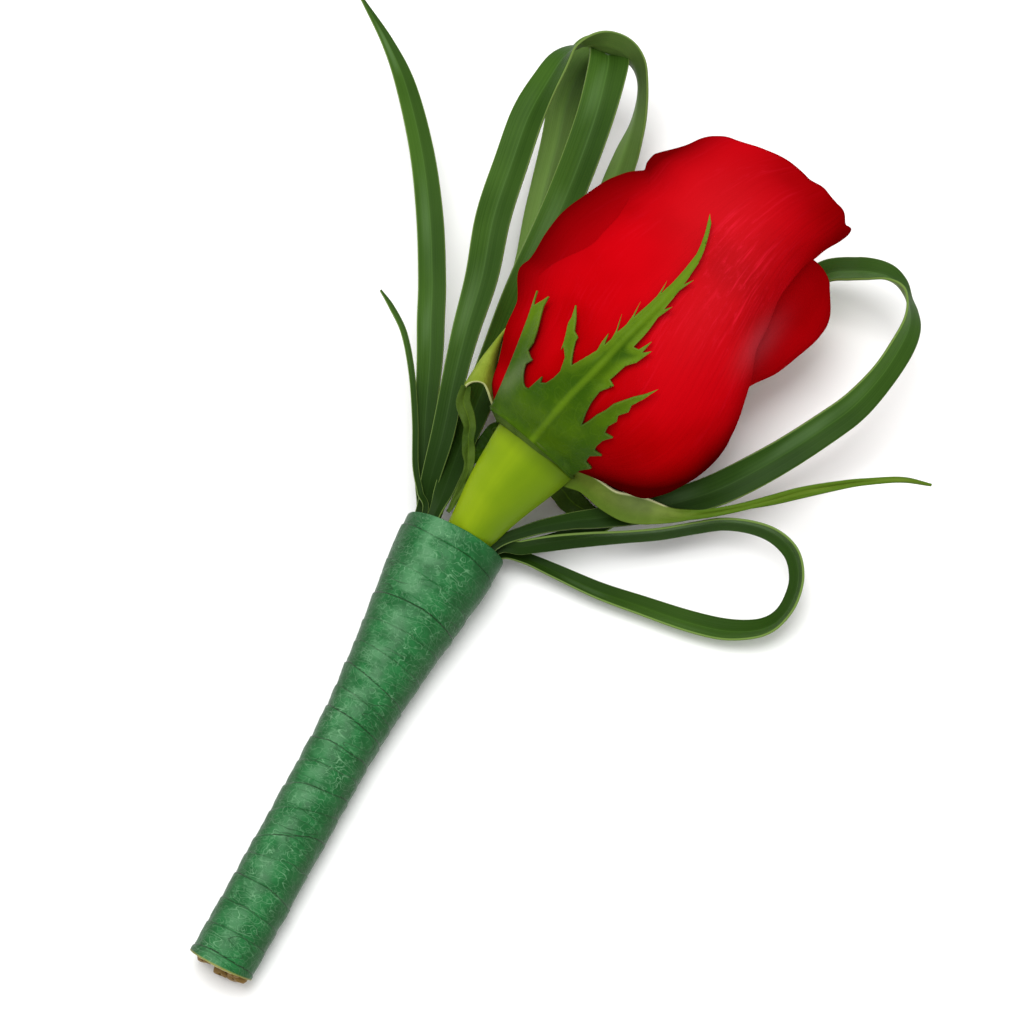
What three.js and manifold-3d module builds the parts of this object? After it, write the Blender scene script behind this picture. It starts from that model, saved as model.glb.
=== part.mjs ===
// A rose boutonniere: a half-open red rose and five blades of lily grass, bound to a handle with floral tape.
// Millimetres. +Y runs from the cut foot to the bloom, +X to the right seen from above, +Z up from the table.
import * as THREE from 'three';
import * as BufferGeometryUtils from 'three/addons/utils/BufferGeometryUtils.js';
import Module from 'manifold-3d';

const wasm = await Module();
wasm.setup();

// ---- Driving dimensions ----
const gap = 0.3; // between pieces that touch
const handleLength = 74;
const handleWidths = [[0, 4.8], [38, 4.8], [50, 5.6], [60, 6.8], [68, 7.8], [handleLength, 8.15]];
const handleHeights = [[0, 4.5], [38, 4.6], [50, 5.1], [60, 5.7], [68, 6.3], [handleLength, 6.5]];
const tapeWall = 0.9;
const tapeStep = 0.4; // how far each turn's edge stands out
const tapePitch = 4.1;
const tapeSlant = -0.16;
const flattening = 0.25; // how much the underside is pressed flat

const stemRadii = [
  [0, 2.4], [44, 2.5], [60, 2.8], [70, 3.1], [74, 3.25], [78, 4.1], [82, 5.1], [86, 5.9], [90, 6.7], [93, 7.4],
];
const stemRunOn = 3; // the route goes on into the bloom, so that the hip's top faces along the bloom's axis
const stemRoute = [
  [0, 0.4, 4.3], [0.1, 22, 4.4], [0.2, 44, 4.8], [0.5, 66, 6.2], [0.9, 73, 7.2],
  [1.6, 78, 10.0], [2.5, 82, 12.8], [3.65, 86, 15.0], [4.38, 88.85, 16.11], [5.1, 91.7, 16.74],
];

const bloomBase = new THREE.Vector3(4.6, 89.7, 16.3);
const bloomAxis = new THREE.Vector3(0.242, 0.947, 0.211).normalize();
const bloomFace = new THREE.Vector3(0.158, -0.303, 0.94);
const bloomStart = 0.5;
// along the bud, sideways shift of its middle, radius
const budShape = [
  [0, 0, 7.2], [1, 0.2, 8.2], [3, 2.0, 12.1], [6, 3.8, 15.2], [10, 4.2, 17.7], [15, 3.8, 19.1],
  [20, 2.6, 20.0], [28, 1.3, 19.1], [33, 1.3, 17.5], [37, 1.4, 16.0], [41, 1.6, 14.7], [45, 2.0, 13.7],
  [48, 2.6, 13.0], [51, 3.4, 12.4], [54, 5.0, 10.9], [57.5, 7.0, 8.2],
];
const petalThick = 1.1;
const coreInset = 0.8;

const sepalThick = 0.7;
const collarRadius = 8.6;
const frontSepalReach = 46;
// half of the outline up its left side, then down its right side: sideways, along
const frontSepalOutline = [
  [-7.8, -1], [-8.9, 4], [-10.2, 8.5], [-11.9, 13.7], [-13.4, 17.3], [-11.9, 18], [-9.7, 13], [-9, 10.3],
  [-7.8, 9.3], [-6.4, 6], [-5.4, 5.7], [-3.7, 8.4], [-3.3, 11], [-4.1, 12.9], [-7.4, 19.8], [-5.3, 17],
  [-3.9, 15.2], [-2.4, 12.7], [-1.5, 15], [-0.9, 17], [-1.1, 20], [-0.3, 19.5], [-1.2, 23.2], [-0.5, 26.4],
  [0.4, 30], [-0.4, 33], [0, 36], [-0.6, 39.5], [-1.4, 43.4], [0.4, 42.4], [1.7, 40.3], [2.7, 36.7],
  [3.2, 32.6], [3.2, 27.8], [3.1, 22.8], [4.6, 23], [3.2, 18.7], [3.8, 17.4], [3.3, 14.7], [3.2, 12.3],
  [3.5, 10.3], [4.4, 6.7], [5.7, 10.6], [6.8, 13.5], [9.4, 17.9], [8.2, 13.6], [7.7, 11.3], [8.5, 7.1],
  [8.1, 4.2], [8, 0.3], [7.8, -1],
];

const bladeThick = 0.62;
const bladeFold = 0.16; // depth of the V as a share of the width

// ---- Grass: x, y, z, width, then the direction that the blade's upper face looks in ----
const tallRoute = [
  [-3.15, 0.5, 4.3, 1.2, 1, 0, 0], [-3.15, 20, 4.4, 1.2, 1, 0, 0], [-3.3, 40, 4.6, 1.3, 1, 0, 0.1],
  [-4, 55, 5.2, 1.3, 0.8, 0, 0.5], [-5, 65, 5.8, 1.4, 0.3, 0, 1], [-6.1, 74.2, 6.3, 1.5, 0, 0, 1], [-8.6, 80, 8.4, 2.5, 0, 0, 1],
  [-12.1, 87.3, 10.2, 3.1, 0, 0, 1], [-15.9, 96, 11.4, 3.9, 0, 0, 1], [-18.7, 101.7, 12.1, 4.2, 0, 0, 1],
  [-21.6, 107.6, 12.6, 4.2, 0, 0, 1], [-26.7, 116.5, 13, 4.1, 0, 0, 1], [-32.9, 125.6, 13, 3.7, 0, 0, 1],
  [-40, 134.6, 12.5, 3.1, 0, 0, 1], [-46.5, 140, 12, 1.9, 0, 0, 1], [-53.9, 145.2, 11.5, 0.5, 0, 0, 1],
];
const shortRoute = [
  [-4.4, 61, 7.6, 0.9, 0, 0, 1], [-5.4, 74.2, 8.9, 0.9, 0, 0, 1], [-7.5, 77, 10.3, 0.9, 0, 0, 1],
  [-9.9, 80.1, 11.5, 0.9, 0, 0, 1], [-13, 85.9, 12.6, 0.9, 0, 0, 1], [-16.9, 92.2, 13.6, 0.9, 0, 0, 1],
  [-20.9, 97.3, 14.1, 0.9, 0, 0, 1], [-24.5, 100.1, 14.4, 0.8, 0, 0, 1], [-27.3, 101.8, 14.4, 0.5, 0, 0, 1],
];
const leftOuterRoute = [
  [-4.6, 60, 6.6, 1.3, 0, 0, 1], [-6.1, 74.2, 7.6, 1.4, 0, 0, 1], [-7.4, 80.3, 10.2, 2.1, 0, 0, 1],
  [-8.5, 86.3, 12.2, 3.1, 0, 0, 1], [-10.8, 94.4, 14, 3.6, 0, 0, 1], [-12.6, 101.6, 15, 4.2, 0, 0, 1],
  [-14.4, 110.2, 16, 5, 0, 0, 1], [-17.2, 119.4, 17, 5.4, 0, 0, 1], [-18.8, 128.6, 18, 5.2, -0.1, 0, 1],
  [-20.1, 136.1, 19, 4.9, -0.3, 0.1, 1], [-20.2, 142.6, 20, 4.7, -0.6, 0.3, 0.8],
  [-19.3, 147.6, 20.2, 4.6, -0.7, 0.6, 0.5], [-17.6, 151, 20, 4.5, -0.6, 0.8, 0.1],
  [-15.6, 153.2, 19, 4.4, -0.3, 0.9, -0.4], [-13, 154.1, 18, 4.4, 0.1, 0.9, -0.5],
  [-10.4, 153.6, 17, 4.3, 0.5, 0.8, -0.4], [-8.4, 152, 15.6, 4.3, 0.8, 0.5, -0.3],
  [-6.5, 149.3, 13.8, 4.2, 0.9, 0.2, -0.3], [-5.5, 145.6, 11.6, 4.1, 0.9, 0, -0.5],
  [-5.2, 141.5, 9.2, 4, 0.7, 0, -0.7], [-4.8, 137, 7, 3.9, 0.4, 0, -0.9], [-4.4, 130, 4.8, 3.8, 0, 0, -1],
  [-3.6, 121, 3.2, 3.6, 0, 0, -1], [-3, 107, 2.2, 3.4, 0, 0, -1], [-2.6, 95, 2.2, 3, 0, 0, -1],
  [-2.2, 84, 2.4, 2.3, 0, 0, -1], [-1.7, 74.2, 2.5, 1.7, 0, 0, -1], [-1.1, 62, 1.75, 1.4, 0, 0, -1],
];
const leftInnerRoute = [
  [-2.8, 61, 8.3, 1.2, -0.6, 0, 0.8], [-3.9, 74.2, 9.9, 1.5, -0.3, 0, 0.9], [-4.5, 79, 9.9, 2, 0, 0, 1],
  [-5.9, 86.5, 9.2, 3, 0.1, 0, 1], [-7.1, 95.5, 8.6, 4, 0.2, 0, 1], [-8.1, 103.1, 8.4, 4.8, 0.2, 0, 1],
  [-9, 110.8, 8.8, 5.3, 0.2, 0, 1], [-9.4, 117.1, 9.6, 5.6, 0.15, 0, 1], [-9.5, 122.2, 11, 5.7, 0.1, 0, 1],
  [-9.7, 128.2, 13, 5.7, 0, 0, 1], [-10.3, 135.6, 15.6, 5.7, 0, 0, 1], [-11.1, 142, 17.2, 5.7, 0, -0.1, 1],
  [-12, 146.6, 17.9, 5.6, 0, 0.2, 1], [-13.2, 149.8, 17.4, 5.5, -0.1, 0.7, 0.8],
  [-14.5, 151.6, 15.6, 5.3, -0.2, 1, 0.1], [-15.4, 151.2, 13.2, 5.1, 0, 0.9, -0.6],
  [-15.8, 148.8, 11.4, 5, 0, 0.3, -1], [-15.6, 144.6, 10.2, 4.9, 0, 0, -1], [-14.9, 138.8, 9, 4.8, 0, 0, -1],
  [-14, 133, 7.8, 4.6, 0, 0, -1], [-12.9, 127, 6.4, 4.4, 0, 0, -1], [-11.3, 119.5, 4.8, 4.2, 0, 0, -1],
  [-9.2, 109, 3.4, 3.8, 0, 0, -1], [-7.9, 96, 3, 3.2, 0, 0, -1], [-6.2, 84, 3.3, 2.4, 0, 0, -1],
  [-4.6, 74.2, 3.7, 1.7, 0, 0, -1], [-3.4, 61, 2.9, 1.3, 0.3, 0, -1],
];
const rightRoute = [
  [3.15, 0.5, 4.3, 1.2, 1, 0, 0], [3.15, 20, 4.4, 1.2, 1, 0, 0], [3.3, 40, 4.7, 1.3, 1, 0, 0.1],
  [4, 55, 5.6, 1.3, 0.9, 0, 0.3], [4.9, 65, 7, 1.4, 0.6, 0, 0.8], [5.6, 74.2, 8.4, 1.5, 0.2, 0, 1], [9.1, 80.3, 9, 1.8, 0.2, -0.1, 1],
  [13.7, 84.7, 8.6, 2.2, 0.2, -0.2, 1], [17.4, 87.3, 8.4, 2.8, 0.2, -0.2, 1],
  [22.9, 90.8, 8.8, 3.8, 0.2, -0.2, 1], [29, 95, 9.8, 4.6, 0.1, -0.2, 1], [33.1, 99.1, 11, 5, 0.1, -0.2, 1],
  [38.2, 106.2, 12, 5.1, 0.1, -0.1, 1], [42.5, 113.7, 13, 5.1, 0.3, 0, 0.9],
  [44.7, 118.2, 14, 5.1, 0.6, 0, 0.8], [46.2, 123.4, 14.7, 5, 0.8, 0, 0.6],
  [47, 129.5, 15, 5, 0.9, 0.1, 0.3], [46.9, 133.2, 15, 4.9, 0.8, 0.4, 0.4],
  [45.2, 136.8, 14.7, 4.9, 0.4, 0.6, 0.7], [42, 139.2, 14, 4.8, 0.1, 0.5, 0.9],
  [38.3, 140, 13, 4.7, 0, 0.4, 0.9], [34.6, 139, 10.9, 4.6, -0.1, 0.3, 0.95],
  [31.8, 136.4, 7.6, 4.4, 0, 0, 1], [30.4, 131, 4.8, 4.2, 0, 0, 1], [29.5, 121, 3.3, 4, 0, 0, 1],
  [27.8, 110, 2.7, 3.8, 0, 0, 1], [24.2, 98, 1.9, 3.4, 0, 0, 1], [17.5, 87.5, 1.7, 2.8, 0, 0, 1],
  [9.6, 79.5, 1.9, 2, 0, 0, 1], [4.3, 73.8, 3.2, 1.6, -0.4, 0, 0.9], [3.1, 61, 2.7, 1.2, -0.4, 0, 0.9],
];
const lowRoute = [
  [4.5, 61, 5.3, 1.2, 0, 0, 1], [5.9, 74.2, 6.9, 1.5, 0.2, -0.3, 1], [9.8, 77.2, 7.6, 2.4, 0.4, -0.6, 0.6],
  [14, 80.2, 8.1, 3.4, 0.5, -0.8, 0.35], [18.2, 82.8, 8.4, 4, 0.54, -0.84, 0.2],
  [22.5, 85.5, 8.1, 4.3, 0.54, -0.84, 0.1], [27.1, 88.5, 7.8, 4.4, 0.54, -0.84, 0.1],
  [31.3, 91.6, 7.9, 4.5, 0.54, -0.84, 0.1], [34.8, 93.9, 8.3, 4.5, 0.4, -0.9, 0.1],
  [38.9, 95.5, 8.1, 4.5, 0.1, -1, 0.15], [42.6, 95.9, 7.8, 4.5, -0.2, -0.9, 0.25],
  [45.9, 94.9, 7.2, 4.5, -0.6, -0.7, 0.4], [48.1, 92.2, 6.4, 4.5, -0.8, -0.3, 0.5],
  [48.9, 89.2, 5.4, 4.5, -0.8, 0, 0.6], [48.7, 86.6, 4.4, 4.5, -0.7, 0.3, 0.7],
  [47.5, 84.5, 3.5, 4.5, -0.4, 0.5, 0.8], [45.3, 82.8, 2.9, 4.5, -0.2, 0.5, 0.85],
  [41.5, 81.2, 2.3, 4.4, -0.09, 0.43, 0.9], [36.1, 80, 2.1, 4.2, -0.09, 0.43, 0.9],
  [29.1, 79, 2.2, 3.8, -0.09, 0.43, 0.9], [22.2, 78, 2.7, 3.2, -0.09, 0.4, 0.9],
  [15, 77.2, 3.6, 2.5, 0, 0.3, 0.95], [10.4, 76.7, 4.5, 1.9, 0, 0.2, 1], [7.2, 75.6, 5.1, 1.6, 0, 0, 1],
  [5.7, 72.8, 5.4, 1.4, 0, 0, 1], [4.4, 61, 4, 1.2, 0.2, 0, 1],
];

// ---- Sepals besides the front one, in the bloom's frame: sideways, along, up, width, face ----
const leftSepal = [
  [-5.2, -0.3, 0.6, 5, 0, -0.4, 1], [-8.2, 1.2, -0.6, 6.4, 0, -0.4, 1], [-11, 2.6, -0.6, 6.6, -0.2, -0.3, 1],
  [-12.9, 1.9, 0.2, 5, -0.7, 0, 0.8], [-12.8, -0.2, 0.8, 2.8, -0.8, -0.2, 0.6],
  [-11.6, -1.7, 0.8, 1.7, -0.5, -0.2, 0.9], [-9.5, -3.6, 0.6, 1.2, -0.2, 0, 1],
  [-8.1, -6, 0.5, 1, 0.2, 0, 1], [-6.3, -8.6, 0.5, 1, -0.1, 0, 1], [-5.2, -10.8, 0.4, 1, 0.2, 0, 1],
  [-4.7, -12.6, 0.2, 0.9, 0, 0, 1], [-4.5, -14.6, 0, 0.5, 0, 0, 1],
];
const rightSepal = [
  [5.2, -0.3, -1.4, 4.6, 0, -0.5, 0.9], [8.6, -0.5, -2, 4.4, 0, -0.5, 0.9], [11.8, -0.3, -2, 4, 0, -0.5, 0.9],
  [15.4, 0.5, -1.8, 3.7, 0, -0.5, 0.9], [19.2, 2.1, -1.4, 3.2, 0, -0.4, 0.9], [23, 4.5, -1, 2.6, 0, -0.3, 1],
  [26.6, 7.4, -0.6, 1.6, 0, 0, 1], [31.1, 12.3, -0.3, 1.1, 0, 0, 1], [33.8, 15.9, 0, 1, 0, 0, 1],
  [37, 20.4, 0, 0.9, 0, 0, 1], [42.3, 26.4, 0, 0.8, 0, 0, 1], [46.7, 30.7, 0, 0.7, 0, 0, 1],
  [50.2, 32.8, 0, 0.5, 0, 0, 1],
];
const backSepals = [
  [[2.5, -0.3, -5.2, 5, 0, -0.9, -0.4], [3.6, -1.2, -8.3, 4.2, 0, -0.7, -0.7], [3.3, -3.5, -9.2, 3, 0, 0, -1],
    [2.7, -6.5, -8.9, 1.6, 0, 0, -1], [2.2, -9, -8.3, 0.6, 0, 0, -1]],
  [[-3, -0.3, -5, 5, 0, -0.9, -0.4], [-4.4, -1.2, -8, 4.2, 0, -0.7, -0.7], [-5, -3.5, -8.6, 3, 0, 0, -1],
    [-5, -6.5, -8.3, 1.6, 0, 0, -1], [-4.8, -9, -7.7, 0.6, 0, 0, -1]],
];

// ---- Small helpers ----
const between = THREE.MathUtils.lerp;
const ease = THREE.MathUtils.smoothstep;
const radians = THREE.MathUtils.degToRad;

// Smooth values read from rows of [position, value, ...].
function smoothTable(rows) {
  const positions = rows.map((row) => row[0]);
  const values = rows.flatMap((row) => row.slice(1));
  const curve = new THREE.CubicInterpolant(positions, values, rows[0].length - 1);
  return (position) => {
    const inside = THREE.MathUtils.clamp(position, positions[0], positions.at(-1));
    return Array.from(curve.evaluate(inside));
  };
}

function volumeOf(geometry) {
  const [a, b, c] = [new THREE.Vector3(), new THREE.Vector3(), new THREE.Vector3()];
  const corner = geometry.attributes.position;
  let six = 0;
  for (let i = 0; i < geometry.index.count; i += 3) {
    a.fromBufferAttribute(corner, geometry.index.getX(i));
    b.fromBufferAttribute(corner, geometry.index.getX(i + 1));
    c.fromBufferAttribute(corner, geometry.index.getX(i + 2));
    six += a.dot(b.cross(c));
  }
  return six / 6;
}

// Shared corners merged, empty triangles dropped, and every face turned outwards.
function closedShape(geometry) {
  const bare = geometry.clone();
  bare.deleteAttribute('normal');
  bare.deleteAttribute('uv');
  const shape = BufferGeometryUtils.mergeVertices(bare, 1e-3);
  const corners = [];
  for (let i = 0; i < shape.index.count; i += 3) {
    const [a, b, c] = [0, 1, 2].map((k) => shape.index.getX(i + k));
    if (a !== b && b !== c && c !== a) corners.push(a, b, c);
  }
  shape.setIndex(corners);
  if (volumeOf(shape) < 0) shape.setIndex(corners.toReversed());
  return shape;
}

function solidOf(geometry) {
  const shape = closedShape(geometry);
  const mesh = new wasm.Mesh({
    numProp: 3,
    vertProperties: new Float32Array(shape.attributes.position.array),
    triVerts: new Uint32Array(shape.index.array),
  });
  mesh.merge();
  return new wasm.Manifold(mesh);
}

function geometryOf(solid) {
  const mesh = solid.getMesh();
  const geometry = new THREE.BufferGeometry();
  geometry.setAttribute('position', new THREE.BufferAttribute(mesh.vertProperties, mesh.numProp));
  geometry.setIndex(new THREE.BufferAttribute(mesh.triVerts, 1));
  return geometry;
}

// The outer skin alone: closed pockets inside are filled and loose crumbs are dropped.
function outerSkin(solid) {
  return solid.decompose().sort((one, other) => other.volume() - one.volume())[0];
}

function piece(name, geometry, finish) {
  const shape = closedShape(geometry);
  shape.computeVertexNormals();
  const mesh = new THREE.Mesh(shape, new THREE.MeshStandardMaterial(finish));
  mesh.name = name;
  return mesh;
}

// A thin closed sheet. place(u, v, side) gives the point on its upper (1) or lower (-1) face,
// and both faces are split into triangles alike.
function slab(columns, rows, place) {
  const sheet = new THREE.PlaneGeometry(1, 1, columns, rows);
  const count = sheet.attributes.position.count;
  const points = [];
  for (const side of [1, -1]) {
    for (let i = 0; i < count; i += 1) {
      points.push(...place(sheet.attributes.uv.getX(i), sheet.attributes.uv.getY(i), side).toArray());
    }
  }
  const upper = Array.from(sheet.index.array);
  const lower = upper.toReversed().map((corner) => corner + count);
  const rim = [];
  const wide = columns + 1;
  for (let column = 0; column < columns; column += 1) rim.push([column + 1, column]);
  for (let row = 0; row < rows; row += 1) rim.push([row * wide, (row + 1) * wide]);
  for (let column = 0; column < columns; column += 1) rim.push([rows * wide + column, rows * wide + column + 1]);
  for (let row = rows; row > 0; row -= 1) rim.push([row * wide + columns, (row - 1) * wide + columns]);
  const edge = rim.flatMap(([a, b]) => [a, a + count, b, b, a + count, b + count]);
  const geometry = new THREE.BufferGeometry();
  geometry.setAttribute('position', new THREE.Float32BufferAttribute(points, 3));
  geometry.setIndex([...upper, ...lower, ...edge]);
  return geometry;
}

// A folded blade along a route of [x, y, z, width, face x, y, z].
function blade(route, thick, fold, rowsPerSpan = 2) {
  const path = new THREE.CatmullRomCurve3(route.map(([x, y, z]) => new THREE.Vector3(x, y, z)));
  const widths = route.map((station) => station[3]);
  const faces = route.map((station) => new THREE.Vector3(...station.slice(4)).normalize());
  const spans = route.length - 1;
  const place = (u, v, side) => {
    const span = Math.min(Math.floor(v * spans), spans - 1);
    const share = v * spans - span;
    const width = between(widths[span], widths[span + 1], share);
    const along = path.getTangent(THREE.MathUtils.clamp(v, 0.002, 0.998));
    const face = faces[span].clone().lerp(faces[span + 1], share);
    const across = along.clone().cross(face).normalize();
    const up = across.clone().cross(along).normalize();
    const sideways = (u - 0.5) * width;
    const dip = fold * width * (Math.abs(u - 0.5) * 2 - 0.5);
    return path.getPoint(v).addScaledVector(across, sideways).addScaledVector(up, dip + side * thick / 2);
  };
  return slab(2, spans * rowsPerSpan, place);
}

// Bends a shape that is built along +Y from 0 to its length so that it follows a path.
function layAlong(geometry, path, length) {
  const spot = geometry.attributes.position;
  const upward = new THREE.Vector3(0, 0, 1);
  for (let i = 0; i < spot.count; i += 1) {
    const share = THREE.MathUtils.clamp(spot.getY(i) / length, 0, 1);
    const along = path.getTangentAt(share);
    const across = along.clone().cross(upward).normalize();
    const up = across.clone().cross(along);
    const point = path.getPointAt(share).addScaledVector(across, spot.getX(i)).addScaledVector(up, spot.getZ(i));
    spot.setXYZ(i, point.x, point.y, point.z);
  }
  return geometry;
}

// ---- Floral tape: a hollow wrap with stepped turns, flat underneath ----
function tapeWrap() {
  const width = smoothTable(handleWidths);
  const height = smoothTable(handleHeights);
  const profile = [new THREE.Vector2(0, 0)];
  for (let y = tapePitch * 0.6; y < handleLength - 1; y += tapePitch) {
    profile.push(new THREE.Vector2(0, y), new THREE.Vector2(tapeStep, y + 0.5));
  }
  profile.push(new THREE.Vector2(0, handleLength));
  for (let y = handleLength; y > 0; y -= handleLength / 9) profile.push(new THREE.Vector2(-tapeWall, y));
  profile.push(new THREE.Vector2(-tapeWall, 0), new THREE.Vector2(0, 0));
  const unit = 1000; // keeps the relief apart from the radius while the profile is turned
  const turned = profile.map(({ x, y }) => new THREE.Vector2(unit + x, y));
  const geometry = new THREE.LatheGeometry(turned, 22);
  const spot = geometry.attributes.position;
  for (let i = 0; i < spot.count; i += 1) {
    const angle = Math.atan2(spot.getX(i), spot.getZ(i));
    const relief = Math.hypot(spot.getX(i), spot.getZ(i)) - unit;
    const y = spot.getY(i);
    const [halfWidth] = width(y);
    const [halfHeight] = height(y);
    const x = (halfWidth + relief) * Math.sin(angle);
    const z = halfHeight - flattening + (halfHeight + relief) * Math.cos(angle);
    const within = ease(y, 0, 6) * (1 - ease(y, handleLength - 6, handleLength));
    spot.setXYZ(i, x, y + tapeSlant * x * within, relief < -0.5 ? z : Math.max(z, 0));
  }
  return geometry;
}

// ---- Stem and hip: one green piece from the cut foot to the underside of the calyx ----
function stemAndHip(grown = 0) {
  const path = new THREE.CatmullRomCurve3(stemRoute.map((point) => new THREE.Vector3(...point)));
  const length = path.getLength();
  const top = length - stemRunOn;
  const radius = smoothTable(stemRadii);
  const profile = [new THREE.Vector2(0, 0)];
  const rows = [0, 14, 28, 42, 54, 64, 70, 73, 76, 79, 82, 85, 88, 90.5, top];
  for (const y of rows) profile.push(new THREE.Vector2(radius(y)[0] + grown, y));
  profile.push(new THREE.Vector2(0, top));
  return layAlong(new THREE.LatheGeometry(profile, 18), path, length);
}

// ---- The bud's surface, in the bloom's own frame: x sideways, y along the bud, z towards its face ----
const budAt = smoothTable(budShape);

function budPoint(along, angle, out) {
  const step = 0.2;
  const [shift, radius] = budAt(along);
  const slope = (budAt(along + step)[1] - budAt(along - step)[1]) / (2 * step);
  const steep = Math.hypot(1, slope);
  const reach = radius + out / steep;
  return new THREE.Vector3(shift + reach * Math.sin(angle), along - out * slope / steep, reach * Math.cos(angle));
}

// One petal wrapped on the bud: angles in degrees from the side that faces up, clockwise from the foot.
function petal({ from, to, reach, start = bloomStart, peak = 0.5, droop = 0.25, lift, columns = 9, rows = 9 }) {
  return slab(columns, rows, (u, v, side) => {
    const top = reach * (1 - droop * Math.abs(u - peak) ** 2.4);
    const along = start + (top - start) * v ** 1.25;
    const narrowing = between(0.5, 1, ease(v, -0.2, 0.55));
    const angle = radians(between(from, to, 0.5 + (u - 0.5) * narrowing));
    const out = lift(u, v) + (side > 0 ? 0 : -petalThick * between(1, 0.72, v));
    return budPoint(along, angle, out);
  });
}

function bloomCore() {
  const profile = [new THREE.Vector2(0, bloomStart)];
  for (const along of [bloomStart, 1.5, 3, 6, 10, 15, 20, 25, 30, 36, 41, 44]) {
    profile.push(new THREE.Vector2(budAt(along)[1] - coreInset, along));
  }
  profile.push(new THREE.Vector2(9, 46), new THREE.Vector2(4.5, 47), new THREE.Vector2(0, 47.4));
  const geometry = new THREE.LatheGeometry(profile, 24);
  const spot = geometry.attributes.position;
  for (let i = 0; i < spot.count; i += 1) spot.setX(i, spot.getX(i) + budAt(spot.getY(i))[0]);
  return geometry;
}

const petals = [
  { from: -58, to: 84, reach: 58, peak: 0.72, droop: 0.42, columns: 14, rows: 13,
    lift: (u, v) => 1.3 * ease(u, 0.86, 1) * ease(v, 0.35, 0.8) + 1.6 * ease(u, 0.6, 1) * ease(v, 0.9, 1) },
  { from: -138, to: -40, reach: 49, peak: 0.55, droop: 0.5, lift: (u, v) => -0.5 + 2.8 * ease(v, 0.45, 0.9) * (1 - u) },
  { from: 70, to: 168, reach: 48.5, peak: 0.35, droop: 0.5, rows: 10,
    lift: (u, v) => -0.6 + 8.6 * ease(v, 0.5, 0.97) * ease(u, 0, 0.4) },
  { from: 140, to: 232, reach: 50, droop: 0.5, lift: (u, v) => -0.1 + 2.4 * ease(v, 0.5, 1) },
  { from: -70, to: 10, reach: 55.5, start: 36, droop: 0.3, columns: 6, rows: 5, lift: () => -2.4 },
  { from: 60, to: 175, reach: 54.5, start: 36, droop: 0.3, columns: 6, rows: 5, lift: () => -2.2 },
  { from: 190, to: 290, reach: 54, start: 36, droop: 0.3, columns: 6, rows: 5, lift: () => -2.6 },
  { from: -20, to: 120, reach: 55, start: 38, droop: 0.2, columns: 6, rows: 5, lift: () => -5 },
  { from: 150, to: 310, reach: 54, start: 38, droop: 0.2, columns: 6, rows: 5, lift: () => -5.4 },
  { from: 30, to: 250, reach: 53, start: 40, droop: 0.1, columns: 7, rows: 4, lift: () => -8 },
];

// The bloom's frame: its face looks up and its axis climbs gently away from the handle.
function bloomFrame() {
  const across = bloomAxis.clone().cross(bloomFace).normalize();
  const up = across.clone().cross(bloomAxis).normalize();
  return new THREE.Matrix4().makeBasis(across, bloomAxis, up).setPosition(bloomBase);
}

function bloomSolid() {
  let solid = solidOf(bloomCore());
  for (const shape of petals) solid = solid.add(solidOf(petal(shape)));
  const below = new THREE.BoxGeometry(200, 300, 40).translate(0, 100, -20);
  below.applyMatrix4(bloomFrame().invert());
  return outerSkin(outerSkin(solid).subtract(solidOf(below)));
}

// ---- Calyx: a collar with five sepals, the front one cut into toothed lobes ----
function frontSepal() {
  const sheet = slab(16, 18, (u, v, side) => {
    const along = 0.2 + (frontSepalReach - 0.2) * v ** 1.4;
    return budPoint(along, radians(between(-52, 46, u)), gap + 0.05 + (side > 0 ? sepalThick : 0));
  });
  const outline = new THREE.Shape(frontSepalOutline.map(([x, y]) => new THREE.Vector2(x, y)));
  const cutter = new THREE.ExtrudeGeometry(outline, { depth: 40, bevelEnabled: false });
  return solidOf(sheet).intersect(solidOf(cutter));
}

// The bud's outside plus the gap, which the reflexed sepals keep clear of.
function budGuard() {
  const profile = [new THREE.Vector2(0, 0.2)];
  for (const along of [0.2, 0.6, 1, 2, 3, 4.5, 6, 8, 10, 15, 20, 26]) {
    profile.push(new THREE.Vector2(budAt(along)[1] + gap, along));
  }
  profile.push(new THREE.Vector2(0, 26));
  const geometry = new THREE.LatheGeometry(profile, 28);
  const spot = geometry.attributes.position;
  for (let i = 0; i < spot.count; i += 1) spot.setX(i, spot.getX(i) + budAt(spot.getY(i))[0]);
  return solidOf(geometry);
}

function calyxSolid() {
  const collar = new THREE.CylinderGeometry(collarRadius, 7.4, 0.9, 28).translate(0, -0.25, 0);
  let solid = solidOf(collar);
  for (const route of [leftSepal, rightSepal, ...backSepals]) {
    solid = solid.add(solidOf(blade(route, sepalThick, 0.08)));
  }
  const hip = stemAndHip(gap).applyMatrix4(bloomFrame().invert());
  return outerSkin(solid.subtract(budGuard()).subtract(solidOf(hip)).add(frontSepal()));
}

// ---- Assembly ----
const grassFinish = { color: 0x35601d, roughness: 0.55, metalness: 0 };
const boutonniere = new THREE.Group();
boutonniere.name = 'boutonniere';
const arrangement = new THREE.Group();
boutonniere.add(arrangement);

arrangement.add(piece('tape_wrap', tapeWrap(), { color: 0x3c8a4e, roughness: 0.7, metalness: 0 }));
arrangement.add(piece('rose_stem', stemAndHip(), { color: 0x87a51e, roughness: 0.45, metalness: 0 }));

const head = new THREE.Group();
head.applyMatrix4(bloomFrame());
head.add(piece('rose_bloom', geometryOf(bloomSolid()), { color: 0xc0101c, roughness: 0.55, metalness: 0 }));
head.add(piece('rose_calyx', geometryOf(calyxSolid()), { color: 0x5c9422, roughness: 0.55, metalness: 0 }));
arrangement.add(head);

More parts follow.
